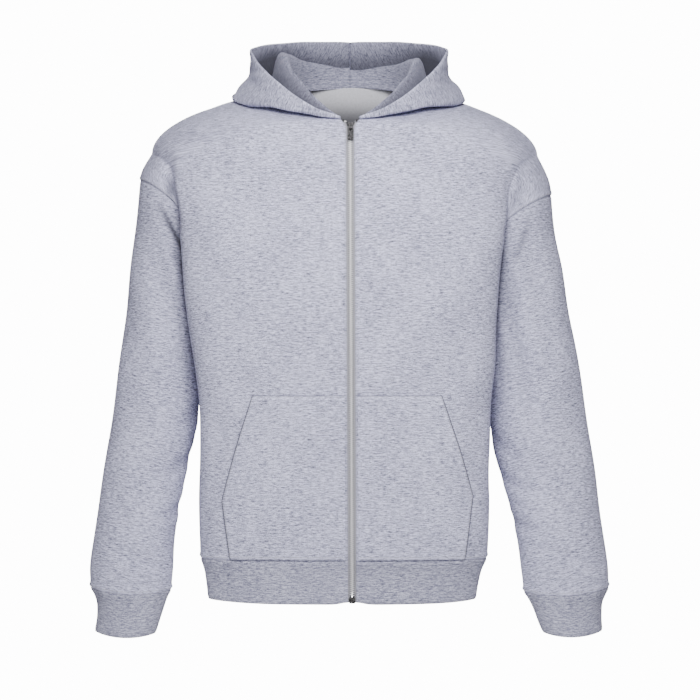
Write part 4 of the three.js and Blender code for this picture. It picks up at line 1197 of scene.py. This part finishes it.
# %% [markdown]
# ## The kangaroo pocket
#
# Each half lies on the front from the zip to its slanted hand opening. Its sewn edges press down
# on the front, and the opening stands a little proud.


# %% Pocket
POCKET_UV_SHIFT = 370


def on_front(side, x, z):
    """The front's own surface at a width and height below the underarm, one row for each z."""
    start, roll, end, square = lower_lines(side, z, -1)
    share = (side.sign * x - start[:, :1] * side.sign) / ((roll[:, :1] - start[:, :1]) * side.sign)
    share = np.clip(share, 0, 1)
    c = np.cos(np.arcsin(share ** (1 / BODY_SQUARE))) ** BODY_SQUARE
    return vec(mix(start[:, :1], roll[:, :1], share), mix(roll[:, 1:2], start[:, 1:2], c), z[:, None])


def pocket_panel(side):
    pocket = side.pocket
    low = HEM_SEAM_Z + POCKET_HEM_GAP
    z = mix(low, pocket.top_z, steps(70, fine_start=True, fine_end=True))
    slant = np.clip((z - pocket.corner_z) / (pocket.top_z - pocket.corner_z), 0, 1)
    below = np.minimum(1, (z - low) / (pocket.corner_z - low))
    edge = mix(mix(pocket.base_x, pocket.corner_x, below), pocket.top_x, slant)
    t = steps(48, fine_start=True, fine_end=True)
    x = side.sign * mix((POCKET_ZIP_X + side.sign * zip_x(z))[:, None], edge[:, None], t[None, :])
    grid = on_front(side, x, z)
    open_ = np.sin(np.pi * slant)[:, None]
    out = unit(vec(side.sign * POCKET_TURN * t, -1, 0))[None, :]
    relief = panel_relief(grid, FRONT_FOLDS) * 0.8
    from_zip, from_open = arc_from(grid, 1), arc_from(grid, 1, end=True)
    from_hem, from_top = arc_from(grid, 0), arc_from(grid, 0, end=True)
    relief *= faded(from_zip, 16) * faded(from_hem, 20)
    relief += hem_gathers(grid, from_hem) + seam(from_hem, ridge=0.6, ridge_at=5.0)
    lift = FLEECE + POCKET_GAP + POCKET_LIFT * open_ * t[None, :] ** POCKET_LIFT_LATE
    sewn = 0.75 * pressed(from_top, 1.6) + 0.75 * (1 - open_) * pressed(from_open, 1.6)
    ridge = 0.5 * raised(from_top, 5, 2.6) + 0.4 * raised(from_open, 5, 2.6)
    # Painted shadow along the sewn top, the hand opening most of all, and the hem seam; painted highlight
    # just inside the top, the opening and above the hem.
    shade = pressed(from_top) + 1.3 * pressed(from_open, 2.0) + 0.3 * pressed(from_hem)
    shade -= 0.2 * raised(from_top, 3.6) + 0.1 * raised(from_open, 4.0)
    shade -= 0.6 * raised(from_hem, *SEAM_HIGHLIGHT_BAND)
    return grid + out * (lift + relief - sewn + ridge)[..., None], shade


for name, side in SIDES.items():
    flip = side.sign < 0
    panel, shade = pocket_panel(side)
    surfaces[f"pocket_{name}"] = (panel, normals_of(panel, flip))
    uv = cloth_uv(panel, side.sign, POCKET_ZIP_X) + (0, POCKET_UV_SHIFT)
    sheet(f"pocket_{name}", [panel], [flip], FLEECE, cloth, [uv], [shade])

# %% [markdown]
# ## The zip
#
# Two tapes lie behind the front edges. The teeth are one small rounded block, modelled once and
# repeated down both tapes, half a pitch apart. Above the slider the two rows part.

# %% Tapes
TOOTH_PITCH, TOOTH_REACH = 2.8, 1.1
SLIDER_Z, SLIDER_HALF = -58, 6.8
TAPE_TOP_Z, TAPE_LOW_Z = -49, -708
BOX_TOP_Z = -701
for name, side in SIDES.items():
    z = np.linspace(TAPE_TOP_Z, TAPE_LOW_Z, 200)
    inner = zip_x(z) + side.sign * (zip_half_gap(z) - ZIP_HALF_GAP)
    across = np.concatenate([np.linspace(0.5, 5, 7), np.linspace(7, 15, 4)])
    x = inner[:, None] + side.sign * across[None, :]
    panel = vec(x, (front_line_y(z) + TAPE_BEHIND)[:, None], z[:, None])
    # Painted shade on the tape next to the teeth, so the gaps between them show dark.
    shade = 0.4 * (1 - faded(across - 2.4, 1.6))[None, :] * np.ones((len(z), 1))
    uv = cloth_uv(panel)
    sheet(f"zip_tape_{name}", [panel], [side.sign > 0], ZIP_TAPE, [TAPE_FACE], [uv], [shade])


# %% Repeating a small shape
def small_shape(size_mm, bevel_mm):
    """A bevelled block modelled once: its points in millimetres and its faces."""
    bpy.ops.object.select_all(action="DESELECT")
    bpy.ops.mesh.primitive_cube_add(size=1)
    block = bpy.context.object
    block.dimensions = size_mm
    bpy.ops.object.transform_apply(location=False, rotation=False, scale=True)
    soft = block.modifiers.new("soft", "BEVEL")
    soft.width = bevel_mm
    soft.segments = 1
    bpy.ops.object.modifier_apply(modifier=soft.name)
    points = np.array([v.co for v in block.data.vertices])
    faces = [list(face.vertices) for face in block.data.polygons]
    bpy.data.objects.remove(block)
    return points, faces


def repeated(name, shape, places, axes, material):
    """One mesh with a copy of the shape at each place, turned to its own three axes."""
    points, faces = shape
    copies = np.einsum("pk,nkx->npx", points, axes) + places[:, None, :]
    all_faces = [[i * len(points) + v for v in face] for i in range(len(places)) for face in faces]
    mesh = bpy.data.meshes.new(name)
    mesh.from_pydata((copies.reshape(-1, 3) * MM).tolist(), [], all_faces)
    piece = object_from(name, mesh, [material])
    bpy.ops.object.shade_smooth_by_angle(angle=math.radians(40))
    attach(piece, GARMENT)
    return piece


# %% Teeth
tooth = small_shape((3.2, 1.2, 2.0), 0.28)
places, signs = [], []
for side in SIDES.values():
    count = int((TAPE_TOP_Z - 1 - BOX_TOP_Z) / TOOTH_PITCH)
    shift = 0 if side.sign < 0 else TOOTH_PITCH / 2
    z = TAPE_TOP_Z - 1 - shift - TOOTH_PITCH * np.arange(count)
    z = z[np.abs(z - SLIDER_Z) > SLIDER_HALF]
    parted = zip_half_gap(z) - ZIP_HALF_GAP
    x = zip_x(z) + side.sign * (parted + TOOTH_REACH)
    places.append(vec(x, front_line_y(z) + TAPE_BEHIND - 0.5, z))
    signs.append(np.full(len(z), side.sign))
places, signs = np.concatenate(places), np.concatenate(signs)
tooth_axes = np.zeros((len(places), 3, 3))
tooth_axes[:, 0, 0] = 1
tooth_axes[:, 1, 2] = 1
tooth_axes[:, 2, 1] = -1
teeth = repeated("zip_teeth", tooth, places, tooth_axes, TEETH_METAL)
print("teeth:", len(places))

# %% Hard parts that stay from the frame
for node in ("zip_slider", "zip_pull_tab", "zip_stop_right", "zip_stop_left", "zip_bottom_box"):
    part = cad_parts[node]
    part.data.materials.clear()
    part.data.materials.append(NICKEL)
    soft = part.modifiers.new("soft_edges", "BEVEL")
    soft.width = 0.25 * MM
    soft.segments = 2
    soft.limit_method = "ANGLE"

# %% [markdown]
# ## Topstitching
#
# Each stitch is a short bar of thread that lies along the cloth. A line of stitches follows a
# panel at a set distance from one of its edges.

# %% Stitches
STITCH_PITCH = 3.4
thread_bar = small_shape((2.5, 0.62, 0.5), 0.16)


def edge_line(name, edge, distance, thick, rows=slice(None)):
    """Points and normals at a distance from an edge of a panel."""
    grid, normals = surfaces[name]
    if edge in ("first_row", "last_row"):
        grid, normals = grid.transpose(1, 0, 2), normals.transpose(1, 0, 2)
    if edge in ("last_row", "last_column"):
        grid, normals = grid[:, ::-1], normals[:, ::-1]
    grid, normals = grid[rows], normals[rows]
    run = arc_from(grid, 1)
    line, up = [], []
    for points, normal, lengths in zip(grid, normals, run):
        line.append([np.interp(distance, lengths, points[:, axis]) for axis in range(3)])
        up.append([np.interp(distance, lengths, normal[:, axis]) for axis in range(3)])
    line, up = np.array(line), unit(np.array(up))
    return line + up * (thick / 2 + 0.08), up


def stitch_line(name, lines):
    places, axes = [], []
    for line, up in lines:
        run = np.concatenate([[0], np.cumsum(np.linalg.norm(np.diff(line, axis=0), axis=-1))])
        at = np.arange(STITCH_PITCH, run[-1] - STITCH_PITCH / 2, STITCH_PITCH)
        centre = np.stack([np.interp(at, run, line[:, axis]) for axis in range(3)], -1)
        ahead = np.stack([np.interp(at + 0.5, run, line[:, axis]) for axis in range(3)], -1)
        normal = unit(np.stack([np.interp(at, run, up[:, axis]) for axis in range(3)], -1))
        along = unit(ahead - centre)
        places.append(centre)
        axes.append(np.stack([along, np.cross(normal, along), normal], 1))
    return repeated(name, thread_bar, np.concatenate(places), np.concatenate(axes), THREAD)


arm_rows = LEVELS > 0.02
for name, side in SIDES.items():
    front = f"front_{name}"
    stitch_line(
        f"stitches_{front}",
        [
            edge_line(front, "first_column", 1.5, FLEECE, LEVELS <= NECK_LEVEL),
            edge_line(front, "first_row", 4.2, FLEECE),
            edge_line(front, "last_column", 3.6, FLEECE, arm_rows),
        ],
    )
    sleeve = f"sleeve_{name}"
    stitch_line(f"stitches_{sleeve}", [edge_line(sleeve, "last_row", 4.2, FLEECE)])
    pocket = f"pocket_{name}"
    stitch_line(
        f"stitches_{pocket}",
        [
            edge_line(pocket, "last_row", 2.2, FLEECE),
            edge_line(pocket, "last_column", 2.2, FLEECE),
            edge_line(pocket, "first_row", 4.2, FLEECE),
        ],
    )
stitch_line(
    "stitches_back",
    [edge_line(f"back_{name}", "first_row", 4.2, FLEECE) for name in SIDES]
    + [edge_line(f"back_{name}", "last_column", 3.6, FLEECE, arm_rows) for name in SIDES]
    + [edge_line(f"back_{name}", "first_column", 3.0, FLEECE, LEVELS > NECK_LEVEL + 0.01) for name in SIDES],
)

# %% [markdown]
# ## Each sheet keeps the size it was cut to as flat, set when it is made

# %% [markdown]
# ## Studio
#
# A pale round floor in a white room, a soft key near the chest, and a long lens level with the
# garment. The room looks bright behind the garment but lights it only a little.


# %% Stage
FLOOR_Z, FLOOR_RADIUS = -1.12, 2.0
bpy.ops.object.select_all(action="DESELECT")
bpy.ops.mesh.primitive_circle_add(vertices=96, radius=FLOOR_RADIUS, fill_type="NGON")
floor = bpy.context.object
floor.name = "studio_floor"
floor.location.z = FLOOR_Z
bpy.ops.object.transform_apply(location=True, rotation=False, scale=False)
paper, tree, shader = new_material("studio_paper")
place = add(tree, "ShaderNodeTexCoord").outputs["Object"]
grain = add(tree, "ShaderNodeTexNoise", {"Vector": place, "Scale": 90.0, "Detail": 3.0}).outputs["Fac"]
tree.links.new(ramp(tree, grain, [(0.3, "#f0f0f1"), (0.7, "#f7f7f7")]), shader.inputs["Base Color"])
bump(tree, shader, grain, 0.2)
shader.inputs["Roughness"].default_value = 0.9
floor.data.materials.append(paper)


# %% Lights and camera
def area_light(name, place, size, watts):
    light = bpy.data.lights.new(name, "AREA")
    light.shape = "SQUARE"
    light.size = size
    light.energy = watts
    lamp = bpy.data.objects.new(name, light)
    lamp.location = place
    lamp.rotation_euler = (CENTRE - lamp.location).to_track_quat("-Z", "Y").to_euler()
    bpy.context.scene.collection.objects.link(lamp)


CENTRE = Vector((0, 0, -0.36))
area_light("key", (0.05, -1.4, 0.43), 0.6, 37)
area_light("fill", (-0.6, -3.4, -0.1), 1.6, 14)
area_light("top", (0.0, -0.9, 2.1), 1.2, 10)
area_light("behind", (-0.5, 2.4, 0.9), 1.4, 30)

AMBIENT, BACKDROP = 0.18, 14.0
world = bpy.data.worlds.new("studio")
world.use_nodes = True
tree = world.node_tree
seen = add(tree, "ShaderNodeLightPath").outputs["Is Camera Ray"]
strength = math_node(tree, "MULTIPLY_ADD", seen, BACKDROP - AMBIENT, AMBIENT)
background = tree.nodes["Background"]
background.inputs["Color"].default_value = (1, 1, 1.01, 1)
tree.links.new(strength, background.inputs["Strength"])
bpy.context.scene.world = world

SENSOR, VIEW_WIDTH, CAMERA_AWAY, CAMERA_Z = 36.0, 0.98, 4.5, -0.364
camera_data = bpy.data.cameras.new("camera")
camera_data.sensor_width = SENSOR
camera_data.lens = SENSOR * CAMERA_AWAY / VIEW_WIDTH
camera = bpy.data.objects.new("camera", camera_data)
camera.location = (0, -CAMERA_AWAY, CAMERA_Z)
camera.rotation_euler = (math.pi / 2, 0, 0)
bpy.context.scene.collection.objects.link(camera)
bpy.context.scene.camera = camera
